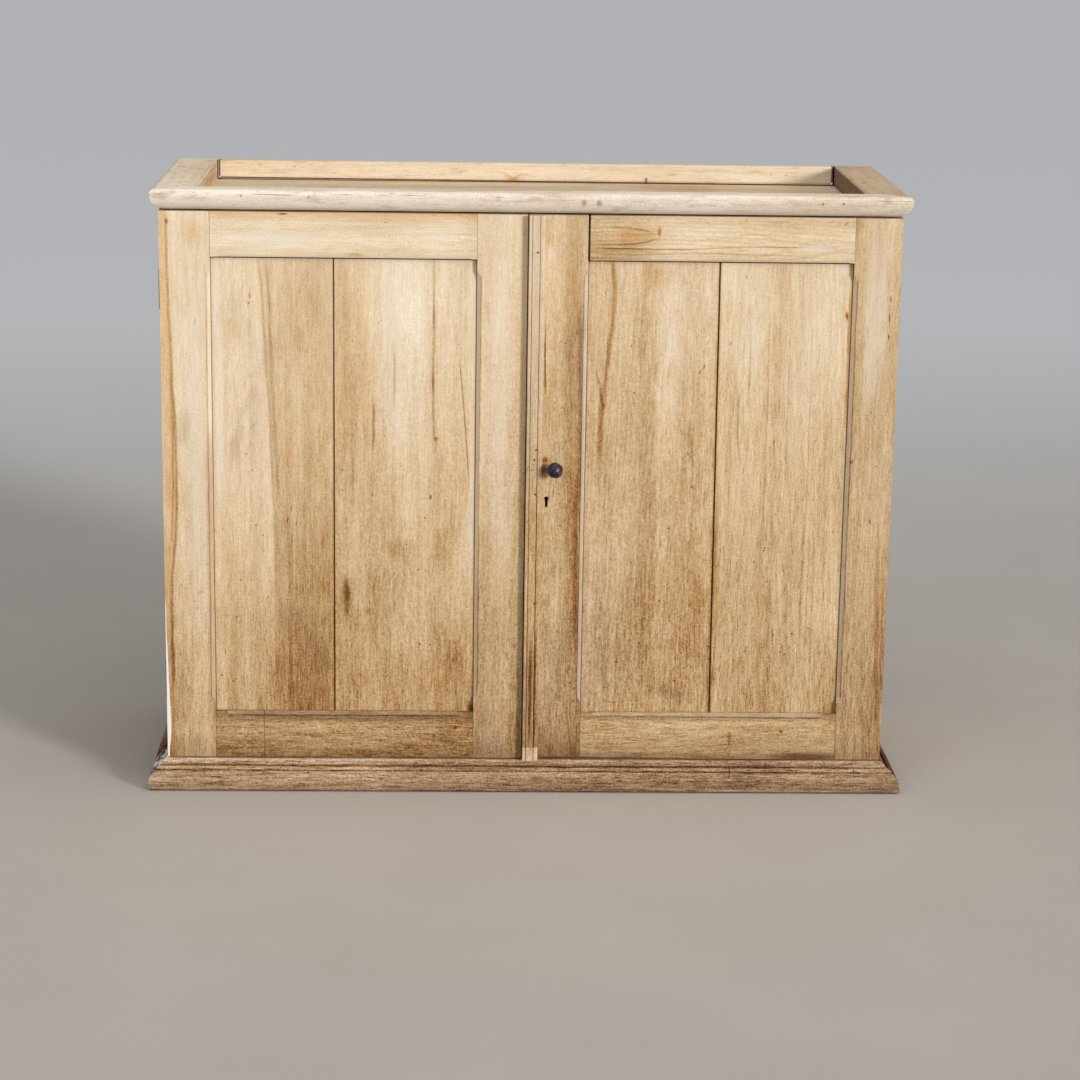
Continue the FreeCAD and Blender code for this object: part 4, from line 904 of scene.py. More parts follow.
rail.brown(thread(rail, [(0.906, 0.16), (0.909, 0.30), (0.905, 0.44)], 0.0018, 0.03), 0.20)
rail.crack(slit(rail, (0.9600, 0.5070), 0.011, -30, 0.0012), 0.6)
rail.pale(oval(rail, (0.919, 0.460), (0.007, 0.040)), 0.65)
rail.brown(edge(rail.finish.z, RIGHT[3], 0.010), 0.14)
dress(rail.done(), "right_door_top_rail")
print("right top rail dressed")

# %% Right bottom rail
rail = member("right_bottom_rail_wood", "level", 10.0, (0.39, 0.39, 0.39), OPEN_WOOD, (0.07, 0.22))
shoulders(rail, RIGHT)
rail.grime_and_shade(rail.finish.z.fade(RIGHT[2] - 0.016, RIGHT[2] - 0.008) * (rail.mottle * 1.4), 0.45)
arris(rail, RIGHT[2] - CHAMFER_LEG, RIGHT_SPAN)
rail.brown(thread(rail, [(0.060, 0.3420), (0.082, 0.3500), (0.105, 0.3400)], 0.0040, 0.01), 0.20)
rail.brown(oval(rail, (0.090, 0.3440), (0.022, 0.0045)), 0.20)
rail.brown(oval(rail, (0.0995, 0.4315), (0.0030, 0.0050), 35, 0.4), 0.45)
rail.grime_and_shade(oval(rail, (0.0560, 0.4700), (0.0130, 0.085)), 0.45)
rail.brown(oval(rail, (0.0560, 0.4800), (0.0110, 0.060)), 0.10)
rail.grime_and_shade(edge(rail.finish.z, 0.0540, 0.012) * (rail.mottle * 1.2), 0.5)
dress(rail.done(), "right_door_bottom_rail")
print("right bottom rail dressed")

# %% [markdown]
# ### Right panel
# Both boards show rings too, and the crack between them leans. An upright line would leave its
# place, so it is worked out for every height from where the boards meet at the top and the foot.

# %% Leaning joint
JOINT_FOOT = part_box("right_door_inner_panel")[1][0]
JOINT_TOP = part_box("right_door_outer_panel")[0][0]


def leaning_joint(board):
    """The crack between the boards: its place moves evenly to the side as it rises."""
    rise = (board.finish.z - RIGHT[2]) / (RIGHT[3] - RIGHT[2])
    place = rise * (JOINT_TOP - JOINT_FOOT) + JOINT_FOOT
    board.crack(abs(board.finish.x - place).fade(0.0019, 0.0008))
    board.brown(abs(board.finish.x - place).fade(0.0060, 0.0) * (board.mottle * 1.4), 0.22)
    board.warm(abs(board.finish.x - place).fade(0.0050, 0.0), 0.50)


print("the joint leans by", round(1000 * abs(JOINT_TOP - JOINT_FOOT), 1), "mm")

# %% Right panel, inner board
panel = Board("right_inner_panel_wood", "up", 11.0, (0.40, 0.53, 0.66), OPEN_WOOD,
              rings=(0.0072, 0.07, 0.235, 0.50, 0.09, 0.030))
behind_frame(panel, RIGHT)
leaning_joint(panel)
GUM_STREAK = [(0.1281, 0.897), (0.1337, 0.856), (0.1333, 0.798), (0.1293, 0.757), (0.1251, 0.724),
              (0.1210, 0.682), (0.1186, 0.641), (0.1163, 0.580)]
panel.brown(thread(panel, GUM_STREAK, 0.0064), 0.25)
panel.warm(thread(panel, GUM_STREAK, 0.0070), 0.25)
panel.brown(thread(panel, [(0.1080, 0.712), (0.1145, 0.685), (0.1195, 0.655)], 0.0040, 0.015), 0.22)
panel.pale(oval(panel, (0.1462, 0.875), (0.0045, 0.026)), 0.35)
panel.pale(oval(panel, (0.2271, 0.763), (0.0050, 0.045)), 0.50)
panel.pale(oval(panel, (0.2640, 0.8480), (0.030, 0.0016), -3, 0.3), 0.55)
panel.warm(oval(panel, (0.2031, 0.868), (0.040, 0.032)), 0.30)
panel.brown(oval(panel, (0.2031, 0.868), (0.036, 0.028)), 0.08)
panel.brown(slit(panel, (0.2842, 0.7222), 0.014, -20, 0.0022)
            + slit(panel, (0.2775, 0.7136), 0.010, -12, 0.0018), 0.42)
panel.warm(oval(panel, (0.2800, 0.7060), (0.014, 0.028), -12), 0.40)
panel.brown(dots(panel, [(0.1636, 0.7556), (0.1703, 0.6777), (0.1959, 0.2188), (0.1506, 0.2185),
                         (0.2698, 0.5206), (0.2200, 0.3250), (0.2330, 0.4500)], 0.0020), 0.45)
panel.brown(slit(panel, (0.2194, 0.4214), 0.022, 2, 0.0013), 0.40)
panel.warm(oval(panel, (0.2890, 0.330), (0.020, 0.060)), 0.30)
panel.brown(oval(panel, (0.2890, 0.330), (0.018, 0.055)), 0.10)
panel.brown(slit(panel, (0.1454, 0.1483), 0.030, 88, 0.0010)
            + slit(panel, (0.1298, 0.1720), 0.016, 0, 0.0010)
            + slit(panel, (0.1320, 0.1740), 0.012, 80, 0.0010), 0.32)
panel.brown(oval(panel, (0.2643, 0.600), (0.010, 0.070)), 0.10)
panel.grime_and_shade(oval(panel, (0.2450, 0.1650), (0.045, 0.020), -20), 0.35)
dress(panel.done(), "right_door_inner_panel")
print("inner board dressed along", len(GUM_STREAK), "places of the gum streak")

# %% Right panel, outer board
panel = Board("right_outer_panel_wood", "up", 12.0, (0.45, 0.55, 0.77), OPEN_WOOD,
              rings=(0.0080, 0.06, 0.40, 0.45, 0.08, 0.034))
behind_frame(panel, RIGHT)
leaning_joint(panel)
panel.brown(slit(panel, (0.3486, 0.8708), 0.012, 4, 0.0014), 0.50)
panel.brown(thread(panel, [(0.3550, 0.810), (0.3590, 0.74), (0.3580, 0.668)], 0.0020, 0.02), 0.16)
panel.brown(thread(panel, [(0.3470, 0.680), (0.3424, 0.634), (0.3473, 0.570)], 0.0024, 0.02), 0.22)
for middle, foot in ((0.3882, 0.44), (0.4219, 0.48), (0.4586, 0.40)):
    panel.brown(thread(panel, [(middle, 0.80), (middle + 0.002, 0.65), (middle - 0.001, foot)],
                       0.0020, 0.06), 0.14)
EDGE_THREAD = [(0.5205, 0.860), (0.5195, 0.76), (0.5200, 0.64)]
panel.warm(thread(panel, EDGE_THREAD, 0.0050, 0.04), 0.5)
panel.brown(thread(panel, EDGE_THREAD, 0.0040, 0.04), 0.22)
panel.brown(oval(panel, (0.5150, 0.8085), (0.0032, 0.0090), 8, 0.3), 0.55)
panel.warm(oval(panel, (0.5150, 0.8085), (0.0060, 0.0150), 8, 0.3), 0.9)
panel.brown(oval(panel, (0.4030, 0.5977), (0.0022, 0.0060), 0, 0.4), 0.34)
panel.pale(oval(panel, (0.5083, 0.884), (0.012, 0.014)), 0.55)
panel.pale(oval(panel, (0.3620, 0.760), (0.022, 0.060)), 0.22)
for side in (0.4580, 0.4670, 0.4760):
    panel.brown(band(panel, (side, side + 0.003), (0.25, 0.42), 0.002, 0.06), 0.16)
panel.warm(band(panel, (0.309, 0.322), (0.30, 0.48), 0.006, 0.06), 0.35)
panel.brown(band(panel, (0.309, 0.320), (0.30, 0.48), 0.006, 0.06), 0.12)
panel.crack(slit(panel, (0.5085, 0.2360), 0.048, 17, 0.0011), 0.55)
panel.brown(dots(panel, [(0.3943, 0.4176), (0.3768, 0.3934), (0.4713, 0.2799), (0.3920, 0.4130),
                         (0.3990, 0.3600), (0.4440, 0.2700), (0.5060, 0.4460)], 0.0019), 0.45)
panel.brown(slit(panel, (0.3677, 0.1640), 0.010, 60, 0.0012), 0.34)
dress(panel.done(), "right_door_outer_panel")
print("right door dressed")

# %% [markdown]
# ## The strip that covers the gap
# A moulded strip on the right door hides the gap between the doors. It is pale and worn at the top
# and brown with old dirt near the foot, where its last inch has been replaced. Beside its raised
# middle the wood lies lower and holds the dirt. Nail holes show along it, and above the knob there
# is a small repair.

# %% Cover strip
STRIP_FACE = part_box("cover_strip")[0][1]


def strip_board(name, seed, levels):
    """Open wood with dirt where the strip's face lies low, and more of it towards the foot."""
    board = Board(name, "up", seed, levels, OPEN_WOOD)
    sunk = board.finish.y.fade(STRIP_FACE + 0.0008, STRIP_FACE + 0.0022)
    sunk = sunk * board.finish.x.fade(0.0188, 0.0178)
    board.grime_and_shade(sunk * board.finish.z.fade(0.90, 0.30) + sunk * 0.3, 0.5)
    return board


strip = strip_board("cover_strip_wood", 13.0, (0.32, 0.40, 0.64))
strip.pale(strip.finish.z.fade(0.45, 0.75), 0.25)
STRIP_HOLES = [(0.0091, 0.910), (0.0106, 0.5852), (0.0084, 0.5684), (0.0100, 0.5104), (0.0119, 0.3239)]
strip.crack(dots(strip, STRIP_HOLES, 0.0023), 1.0)
strip.crack(slit(strip, (-0.0017, 0.556), 0.010, -25, 0.0010), 0.8)
strip.crack(line(strip.finish.z, 0.5513, 0.0009) * strip.finish.x.fade(0.012, 0.008), 0.40)
strip.brown(band(strip, (0.001, 0.006), (0.09, 0.25), 0.002, 0.03), 0.35)
strip.brown(band(strip, (0.010, 0.013), (0.08, 0.27), 0.0015, 0.03), 0.30)
strip.grime_and_shade(strip.finish.z.fade(0.27, 0.20) * (strip.mottle * 1.3), 0.40)
dress(strip.done(), "cover_strip")
patch = strip_board("strip_patch_wood", 14.0, (0.56, 0.56, 0.56))
patch.pale(patch.finish.z.fade(0.1, 0.0), 0.40)
patch.crack(dots(patch, [(0.0087, 0.0700)], 0.0016))
patch.grime_and_shade(edge(patch.finish.z, 0.075, 0.003), 0.8)
dress(patch.done(), "cover_strip_end_patch")
print("strip dressed, with", len(STRIP_HOLES), "old nail holes")

# %% [markdown]
# ## The rim of the tray
# The top is a shallow tray: a rounded nosing in front, two flat rails at the sides and a loose
# back rail. They are greyer than the doors, because hands and cloths have rubbed them most. Under
# the nosing and the rails the wood is painted black as shade. That mask comes from the way that the
# wood faces, because shade follows the face, not a place.

# %% Nosing
nosing = Board("nosing_wood", "level", 15.0, (0.92, 0.92, 0.92), SMOOTH_WOOD, WEATHERED)
nosing.pale(nosing.finish.z.fade(0.99, 0.98), 0.25)
nosing.brown(nosing.pattern(90, 40, 12, 2).fade(0.60, 0.75), 0.16)
nosing.grime_and_shade(nosing.pattern(60, 16, 13, 3).fade(0.56, 0.72), 0.35)
nosing.crack(nosing.pattern(330, 90, 14, 2).fade(0.72, 0.80) * nosing.finish.z.fade(0.986, 1.001), 0.5)
nosing.brown(dots(nosing, [(0.9960, -0.4660), (0.9955, -0.3590), (0.9960, -0.6130), (0.9930, 0.4660),
                           (0.9935, 0.4990)], 0.0026), 0.40)
nosing.grime_and_shade(oval(nosing, (0.9900, 0.0820), (0.009, 0.008))
             + oval(nosing, (0.9900, 0.1060), (0.009, 0.007)), 0.65)
# Painted shade: the underside of the nosing near black, for the dark gap above the doors.
nosing.crack((-nosing.finish.facing_z).fade(0.97, 0.995), 0.85)
worn_arris = nosing.finish.z + (nosing.mottle - 0.5) * 0.007
nosing.brown(line(worn_arris, 0.9985, 0.0010) * nosing.pattern(200, 12, 15, 2).fade(0.50, 0.60), 0.45)
dress(nosing.done(0.5), "top_front_nosing")
print("nosing dressed")

# %% Side rails
for seed, node, tone, knots in ((16.0, "top_left_rail", 0.78, [(-0.5880, 0.110), (-0.5700, -0.120)]),
                                (17.0, "top_right_rail", 0.36, [(0.5800, 0.060), (0.5660, -0.090)])):
    rail = Board(node + "_wood", "deep", seed, (tone, tone, tone), SMOOTH_WOOD)
    rail.pale(rail.finish.facing_z.fade(0.5, 0.9), 0.28)
    rail.brown(abs(rail.finish.facing_x).fade(0.7, 0.95), 0.30)
    rail.pale(abs(rail.finish.facing_x).fade(0.7, 0.95), 0.20)
    rail.grime_and_shade(rail.pattern(70, 30, 13, 3).fade(0.55, 0.72), 0.35)
    rail.crack(rail.pattern(330, 120, 14, 2).fade(0.72, 0.80), 0.45)
    for knot in knots:
        rail.brown(oval(rail, knot, (0.006, 0.008), 20, 0.5), 0.30)
    rail.grime_and_shade(abs(abs(rail.finish.x) - 0.539).fade(0.010, 0.0) * (rail.mottle * 1.3), 0.4)
    # Painted shade: the undersides of the rails near black.
    rail.crack((-rail.finish.facing_z).fade(0.80, 0.95), 0.85)
    # Painted shade: the inner face of each rail behind the ends of the back rail is black, so the gaps there
    # read dark.
    rail.crack(rail.finish.y.fade(0.210, 0.213) * abs(rail.finish.x).fade(0.5400, 0.5392), 1.0)
    dress(rail.done(0.52), node)
    print(node, "dressed, with", len(knots), "knots")

# %% Back rail
rail = Board("back_rail_wood", "level", 18.0, (0.72, 0.72, 0.72), SMOOTH_WOOD)
rail.pale(rail.finish.z.fade(0.97, 0.98), 0.3)
rail.brown(rail.pattern(260, 22, 12, 3, rail.across + (rail.mottle - 0.5) * 0.006).fade(0.54, 0.70), 0.24)
rail.warm(oval(rail, (0.978, -0.026), (0.012, 0.024)), 0.6)
rail.brown(oval(rail, (0.977, -0.024), (0.007, 0.014)), 0.30)
rail.brown(oval(rail, (0.984, -0.034), (0.003, 0.016), 30)
           + oval(rail, (0.982, -0.016), (0.003, 0.012), -35), 0.24)
rail.brown(dots(rail, [(0.995, -0.405), (0.998, -0.465), (0.990, 0.455), (0.992, 0.428)], 0.0026), 0.35)
rail.grime_and_shade(rail.finish.z.fade(0.979, 0.974), 0.5)
# Painted shade: both ends of the back rail black, so the gaps beside them read dark.
rail.crack(abs(rail.finish.x).fade(0.5330, 0.5350), 0.9)
# Painted shade: the underside black, over the shadow gap beneath the rail.
rail.crack((-rail.finish.facing_z).fade(0.80, 0.95), 0.9)
dress(rail.done(), "top_back_rail")
print("back rail dressed")

# %% Floor of the tray
tray = Board("tray_floor_wood", "level", 19.0, (0.60, 0.60, 0.60), OPEN_WOOD)
tray.pale(1.0, 0.18)
tray.grime_and_shade(edge(tray.finish.y, 0.222, 0.030) * (tray.mottle * 1.4), 0.7)
# Painted shade: a black strip along the tray floor where it runs under the back rail.
tray.crack(edge(tray.finish.y, 0.226, 0.018), 1.0)
tray.brown(oval(tray, (0.972, 0.26), (0.05, 0.10)), 0.10)
tray.brown(tray.pattern(120, 3, 12, 2).fade(0.50, 0.68), 0.14)
# Painted shade: the tray's front edge black, seen through the gap between the doors and the nosing.
tray.crack((-tray.finish.facing_y).fade(0.8, 0.95), 0.85)
dress(tray.done(0.5), "top_board")
print("tray dressed")

# %% [markdown]
# ## The moulded base
# The base has stood in wet mops and boots. Its grain is raised, its quirks are full of dirt, and
# it is purple brown towards the floor. The left tip is cracked and still has white paint on it.
# Most of the dirt goes by height, so one function starts the front and the two sides alike.

# %% Base
def base_board(name, along, seed):
    """Rough wood with dirt by height: a pale top band, two dark quirks and a purple-brown foot."""
    board = Board(name, along, seed, (0.44, 0.44, 0.44), ROUGH_WOOD, WEATHERED)
    z = board.finish.z
    board.bleach = board.bleach * 0.3
    board.brown(z.fade(0.044, 0.048), -0.12)
    board.grime_and_shade(z.fade(0.034, 0.008) * (board.mottle * 1.2 + 0.1), 0.50)
    board.brown(line(z, 0.0405, 0.0016) + line(z, 0.0340, 0.0014), 0.26)
    wavering = board.across + (board.mottle - 0.5) * 0.006
    board.brown(board.pattern(260, 22, 12, 3, wavering).fade(0.54, 0.70), 0.17)
    board.brown(board.pattern(120, 24, 13, 2).fade(0.60, 0.74), 0.12)
    board.grime_and_shade(z.fade(0.004, 0.0), 0.8)
    return board


base = base_board("base_front_wood", "level", 20.0)
base.crack(slit(base, (0.0370, -0.5370), 0.022, 90, 0.0010)
           + slit(base, (0.0345, 0.3440), 0.026, 90, 0.0012)
           + slit(base, (0.0340, 0.5540), 0.024, 90, 0.0010), 0.8)
for height, end in ((0.016, -0.585), (0.024, -0.570), (0.009, -0.592)):
    base.crack(oval(base, (height, end - 0.02), (0.0010, 0.030), 0, 0.2), 0.75)
dress(base.done(0.68, 0.8), "base_front_moulding")
for seed, node, side in ((21.0, "base_left_moulding", -1), (22.0, "base_right_moulding", 1)):
    base = base_board(node + "_wood", "deep", seed)
    base.brown(base.finish.y.fade(0.10, -0.19), 0.16)
    base.grime_and_shade(base.finish.y.fade(0.0, -0.19), 0.6)
    if side < 0:
        chipped = base.pattern(70, 50, 14, 2).fade(0.42, 0.50)
        tip = base.finish.y.fade(-0.120, -0.160) * base.finish.z.fade(0.020, 0.030)
        base.over(WHITE_PAINT, tip * chipped)
    dress(base.done(0.68, 0.8), node)
print("base dressed")

# %% [markdown]
# ## The carcass
# The sides are wide boards with a matt, handled skin. The back is four rough boards nailed on, and
# their nails have rusted into the wood. The inside was never finished: it is plain, dusty, and
# paler where things have stood on it. A loop dresses the back boards, each from its own seed.

# %% Sides
for seed, node in ((23.0, "left_side"), (24.0, "right_side")):
    side = Board(node + "_wood", "up_side", seed, (0.44, 0.58, 0.70), OPEN_WOOD)
    side.grime_and_shade(side.finish.z.fade(0.16, 0.05) * (side.mottle * 1.3), 0.6)
    side.pale(oval(side, (0.03, 0.62), (0.16, 0.30)), 0.30)
    side.crack(line(side.finish.y, 0.012, 0.0008), 0.35)
    side.brown(dots(side, [(-0.150, 0.9400), (0.020, 0.9400), (0.190, 0.9400), (-0.150, 0.0640),
                           (0.020, 0.0640), (0.190, 0.0640)], 0.0030), 0.55)
    dress(side.done(), node)
    print(node, "dressed")

# %% Back boards
for count in range(1, 5):
    node = f"back_board_{count}"
    low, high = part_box(node)
    back = Board(node + "_wood", "up", 25.0 + count, (0.34, 0.42, 0.46), ROUGH_WOOD)
    nails = [(low[0] + inset, height)
             for height in (0.060, 0.488, 0.946) for inset in (0.040, 0.148, 0.256)]
    back.grime_and_shade(dots(back, nails, 0.0100), 0.7)
    back.crack(dots(back, nails, 0.0030), 0.85)
    back.grime_and_shade(back.finish.z.fade(0.20, 0.05) * (back.mottle * 1.3), 0.6)
    back.grime_and_shade(edge(back.finish.x, low[0], 0.006) + edge(back.finish.x, high[0], 0.006), 0.6)
    dress(back.done(0.72, 0.8), node)
    print(node, "dressed, with", len(nails), "nails")

# %% Inside
inside = Board("inside_wood", "level", 30.0, (0.50, 0.56, 0.58), OPEN_WOOD)
inside.grime_and_shade(inside.pattern(4, 3, 12, 3).fade(0.50, 0.75), 0.4)
inside.pale(inside.pattern(6, 5, 13, 2).fade(0.55, 0.75), 0.3)
dress(inside.done(0.70), "bottom_board", "shelf", "base_back_rail", "base_corner_blocks")
battens = Board("batten_wood", "deep", 31.0, (0.46, 0.52, 0.52), OPEN_WOOD)
dress(battens.done(0.70), "left_shelf_batten", "right_shelf_batten")
print("inside dressed")

# %% [markdown]
# ## Iron
# The knob is black iron that hands have polished. The hinges, bolts and lock are plain iron with a
# brown skin, brighter where it is rubbed and rusty in clouds. Three noises of different size make
# the wear, the rust and the pits. Drawn scratches would look too regular on such small pieces.

# %% Iron finishes
def iron(name, dark, rubbed, rust, metallic, rough, clouds=120):
    """Old iron: a dark skin, paler where it is rubbed, with rust in clouds and fine pits."""
    finish = Finish(name)
    cloud = finish.noise(finish.vector(finish.x * clouds, finish.y * clouds, finish.z * clouds), 4, 0.6)
    wear = finish.noise(finish.vector(finish.x * 60 + 5, finish.y * 60, finish.z * 60), 3, 0.6)
    pit = finish.noise(finish.vector(finish.x * 900, finish.y * 900, finish.z * 900), 2, 0.6)
    colour = finish.mix(dark, rubbed, cloud.fade(0.42, 0.66))
    rusty = wear.fade(0.52, 0.68)
    colour = finish.mix(colour, rust, rusty * 0.8)
    finish.link(Base_Color=colour, Metallic=(metallic - rusty * 0.5),
                Roughness=(cloud * 0.3 + rusty * 0.25 + rough),
                Normal=finish.relief(cloud * 0.6 + pit * 0.4, 0.5, 0.0004))
    return finish.material


knob_iron = iron("knob_iron_finish", paint(44, 41, 49), paint(78, 75, 88), paint(86, 62, 56),
                 0.75, 0.24, 260)
fitting_iron = iron("fitting_iron_finish", paint(62, 56, 52), paint(118, 110, 102), paint(118, 72, 44),
                    0.85, 0.32)
IRON_WORDS = ("hinge_case_leaf", "hinge_door_leaf", "bolt", "lock_", "_nut", "pins")
FITTINGS = [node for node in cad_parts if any(word in node for word in IRON_WORDS)]
dress(fitting_iron, *FITTINGS)
dress(knob_iron, "knob")
print(len(FITTINGS), "iron fittings dressed")

# %% [markdown]
# ## The knob
# The knob is a forged ball on a short neck, with a rose against the wood and a shank that goes
# through the door to a nut. It was finished with a hammer, so it is covered in shallow dents. A
# profile of distances and radii is turned round the knob's axis. Then every point of the ball moves
# inwards by the sum of many small hollows, each a bell-shaped curve of the angle from its middle.

# %% Hammer dents
KNOB_LOW, KNOB_HIGH = (np.array(corner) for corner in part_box("knob"))
KNOB_RADIUS = (KNOB_HIGH[0] - KNOB_LOW[0]) / 2
KNOB_MIDDLE = np.array([(KNOB_LOW[0] + KNOB_HIGH[0]) / 2, KNOB_LOW[1] + KNOB_RADIUS,
                        (KNOB_LOW[2] + KNOB_HIGH[2]) / 2])
WOOD_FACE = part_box("right_door_meeting_stile")[0][1]
SHANK_RADIUS, ROSE_RADIUS, NECK_RADIUS = 0.003, 0.009, 0.0050
DRIP = np.array([-0.30, 0.25, -0.92])


def hammer_dents(directions, count=110):
    """How deep each direction of the ball is dented: a sum of hollows spread along a spiral."""
    random = np.random.default_rng(7)
    step = np.arange(count) + 0.5
    height = 1 - 2 * step / count
    turn = step * math.pi * (3 - math.sqrt(5)) + random.uniform(-0.25, 0.25, count)
    flat = np.sqrt(1 - height ** 2)
    middles = np.stack([flat * np.cos(turn), height, flat * np.sin(turn)], axis=-1)
    angle = np.arccos(np.clip(directions @ middles.T, -1, 1))
    depth = random.uniform(0.10, 0.42, count) * 0.001
    return (depth * np.exp(-(angle / 0.15) ** 2)).sum(axis=-1)


print("ball", round(2000 * KNOB_RADIUS, 1), "mm across")


# %% Knob
def hammered_knob(turns=96):
    """The profile (distance, radius) from the shank's end to the ball's front, turned and dented.

    A point on the ball moves along its own direction: in by the dents, and out near one direction,
    where the iron ran into a small drip as it was forged.
    """
    ball = np.radians(np.linspace(22, 180, 60))
    ball_y = KNOB_MIDDLE[1] + KNOB_RADIUS * np.cos(ball)
    ball_radius = KNOB_RADIUS * np.sin(ball)
    rose = np.radians(np.linspace(0, 90, 6))
    rose_y = WOOD_FACE - 0.0012 - 0.0018 * np.sin(rose)
    rose_radius = 0.0052 + 0.0038 * np.cos(rose)
    back = KNOB_HIGH[1]
    y = np.concatenate([[back, back, WOOD_FACE, WOOD_FACE], rose_y, [ball_y[0] + 0.001], ball_y])
    shank_radius = [0, SHANK_RADIUS, SHANK_RADIUS, ROSE_RADIUS]
    radius = np.concatenate([shank_radius, rose_radius, [NECK_RADIUS], ball_radius])
    around = np.linspace(0, 2 * math.pi, turns, endpoint=False)
    points = np.stack([radius[:, None] * np.cos(around), np.broadcast_to(y[:, None], (len(y), turns)) + 0,
                       radius[:, None] * np.sin(around)], axis=-1)
    from_middle = points - [0, KNOB_MIDDLE[1], 0]
    directions = from_middle / np.linalg.norm(from_middle, axis=-1, keepdims=True)
    on_ball = (np.arange(len(y)) >= len(y) - len(ball))[:, None]
    dented = hammer_dents(directions)
    drip = np.arccos(np.clip(directions @ DRIP, -1, 1))
    move = np.where(on_ball, 0.0016 * np.exp(-(drip / 0.16) ** 2) - dented, 0)
    points = points + directions * move[..., None]
    points[-1] = points[-1].mean(axis=0)
    return points + [KNOB_MIDDLE[0], 0, KNOB_MIDDLE[2]], grid_faces(len(y), turns, closed=True)


knob = new_piece("hammered_knob", *hammered_knob(), knob_iron)
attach(knob, "right_door")
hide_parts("knob")
print("knob with", len(knob.data.polygons), "faces")

# %% [markdown]
# ## Screws
# Each leaf of a hinge is held by three screws, and so are the bolt plates, the lock and its keeper.
# Their heads are slotted and were driven by hand, so every slot stands at another angle. A head is
# a low dome over a disc. Its rows run across the slot, with two rows at each wall of the slot: one
# on the dome and one on the slot's floor. Each row is a closed loop over the dome and back below.

# %% One slotted head
def screw_head(radius, proud):
    """One head as a grid (row, place, 3): along the first axis, along the second, and outwards."""
    across = np.array([-1, -0.94, -0.78, -0.48, -0.15, -0.15, 0.15, 0.15, 0.48, 0.78, 0.94, 1])
    in_slot = np.array([0, 0, 0, 0, 0, 1, 1, 0, 0, 0, 0, 0], dtype=bool)
    loop = np.concatenate([np.linspace(0, math.pi, 9), np.linspace(math.pi, 2 * math.pi, 5)[1:-1]])
    along = np.sqrt(1 - across ** 2)[:, None] * np.cos(loop)
    dome = proud * (1 - 0.5 * (across[:, None] ** 2 + along ** 2))
    top = np.where(in_slot[:, None], proud * 0.12, dome)
    out = np.where(np.sin(loop) > -0.01, top, -0.0004)
    return np.stack([np.broadcast_to(across[:, None], along.shape) * radius, along * radius, out], axis=-1)


print("a head is a grid of", screw_head(0.0034, 0.0004).shape[:2], "places")


# %% Screws as one piece
def add_screws(name, places, facing, radius, body, proud=0.00055):
    """Screws on faces that look forward (-1) or back (1), all as one piece on one body."""
    head = screw_head(radius, proud)
    rows, columns = head.shape[:2]
    places = np.array(places, dtype=float)
    turn = np.random.default_rng(len(places) + len(name)).uniform(0, math.pi, len(places))
    first = np.stack([np.cos(turn), 0 * turn, np.sin(turn)], axis=-1)
    second = np.stack([-np.sin(turn), 0 * turn, np.cos(turn)], axis=-1)
    out = np.array([0.0, facing, 0.0])
    points = (places[:, None, None] + head[..., :1] * first[:, None, None]
              + head[..., 1:2] * second[:, None, None] + head[..., 2:] * out)
    faces = grid_faces(rows, columns, closed=True)
    faces = faces if facing < 0 else faces[:, ::-1]
    every = faces[None] + (np.arange(len(places)) * rows * columns)[:, None, None]
    piece = new_piece(name, points, every.reshape(-1, 4), fitting_iron, smooth=False)
    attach(piece, body)


# %% Screws of the hinges
LEAF_INSET = 0.0122
SCREW_PITCH = 0.022


def hinge_screws(side, kind):
    """Three places on each of a door's two hinges, in the middle of the leaf beside its barrel."""
    places = []
    for level in ("lower", "upper"):
        low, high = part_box(f"{side}_{level}_hinge_{kind}_leaf")
        x = low[0] + LEAF_INSET if side == "right" else high[0] - LEAF_INSET
        middle = (low[2] + high[2]) / 2
        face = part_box("left_door_hinge_stile")[1][1] if kind == "door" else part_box("left_side")[0][1]
        places += [(x, face, middle + step) for step in (-SCREW_PITCH, 0.0, SCREW_PITCH)]
    return places


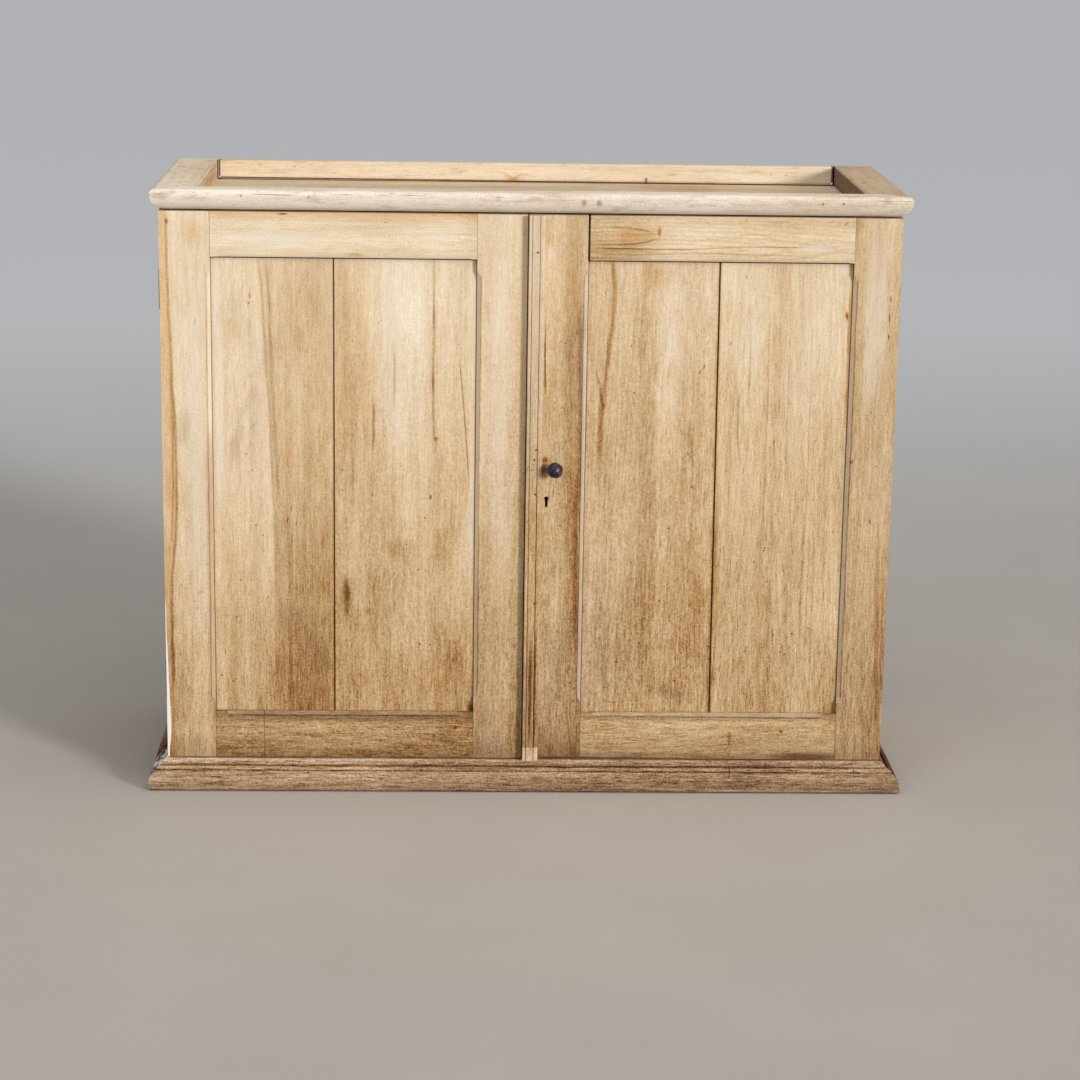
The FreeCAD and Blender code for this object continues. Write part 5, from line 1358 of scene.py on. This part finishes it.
for side in ("left", "right"):
    add_screws(f"{side}_door_hinge_screws", hinge_screws(side, "door"), 1, 0.0034, side + "_door", 0.0004)
    add_screws(f"{side}_case_hinge_screws", hinge_screws(side, "case"), -1, 0.0034, "carcass", 0.0004)

print("screws in the hinges,", SCREW_PITCH * 1000, "mm apart")

# %% Screws of the bolts and the lock
LOCK_INSET = 0.008
PLATE_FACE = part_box("upper_bolt_plate")[0][1] + 0.002
plate_places = []
for node in ("upper_bolt_plate", "lower_bolt_plate"):
    low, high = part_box(node)
    middle = (low[0] + high[0]) / 2
    plate_places += [(middle + across, PLATE_FACE, (low[2] + high[2]) / 2 + along)
                     for across in (-0.0086, 0.0086) for along in (-0.024, 0.024)]
add_screws("bolt_plate_screws", plate_places, 1, 0.0025, "left_door")

low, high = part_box("lock_case")
add_screws("lock_screws", [(x, high[1], z) for x in (low[0] + LOCK_INSET, high[0] - LOCK_INSET)
                           for z in (low[2] + LOCK_INSET, high[2] - LOCK_INSET)], 1, 0.0036, "right_door")
low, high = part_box("lock_keeper")
add_screws("keeper_screws", [((low[0] + high[0]) / 2 - 0.004, high[1], z)
                             for z in (low[2] + 0.0060, high[2] - 0.0060)], 1, 0.0030, "left_door")
print("screws in the bolt plates, the lock and its keeper")

# %% [markdown]
# ## A bent nail
# One old nail stands in the tray against the back rail, a little bent. It could be a cylinder with
# a modifier that bends it. A tube of level rings along a curve is shorter to write: the rings close
# to a point at both ends and swell at the head.

# %% Bent nail
def bent_nail():
    """Level rings of eight points. Their middle rises evenly and goes sideways as a sine."""
    share = np.linspace(0, 1, 14)
    foot = np.array([0.2083, 0.2100, 0.9722])
    path = foot + np.stack([0.0018 * np.sin(share * 2.6), -0.0010 * share, 0.0105 * share], axis=-1)
    radius = 0.0008 + 0.0009 * (share > 0.86)
    radius[[0, -1]] = 0
    around = np.linspace(0, 2 * math.pi, 8, endpoint=False)
    ring = np.stack([np.cos(around), np.sin(around), 0 * around], axis=-1)
    return path[:, None] + radius[:, None, None] * ring, grid_faces(len(share), 8, closed=True)


nail = new_piece("bent_nail", *bent_nail(), fitting_iron)
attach(nail, "carcass")
print("nail with", len(nail.data.polygons), "faces")
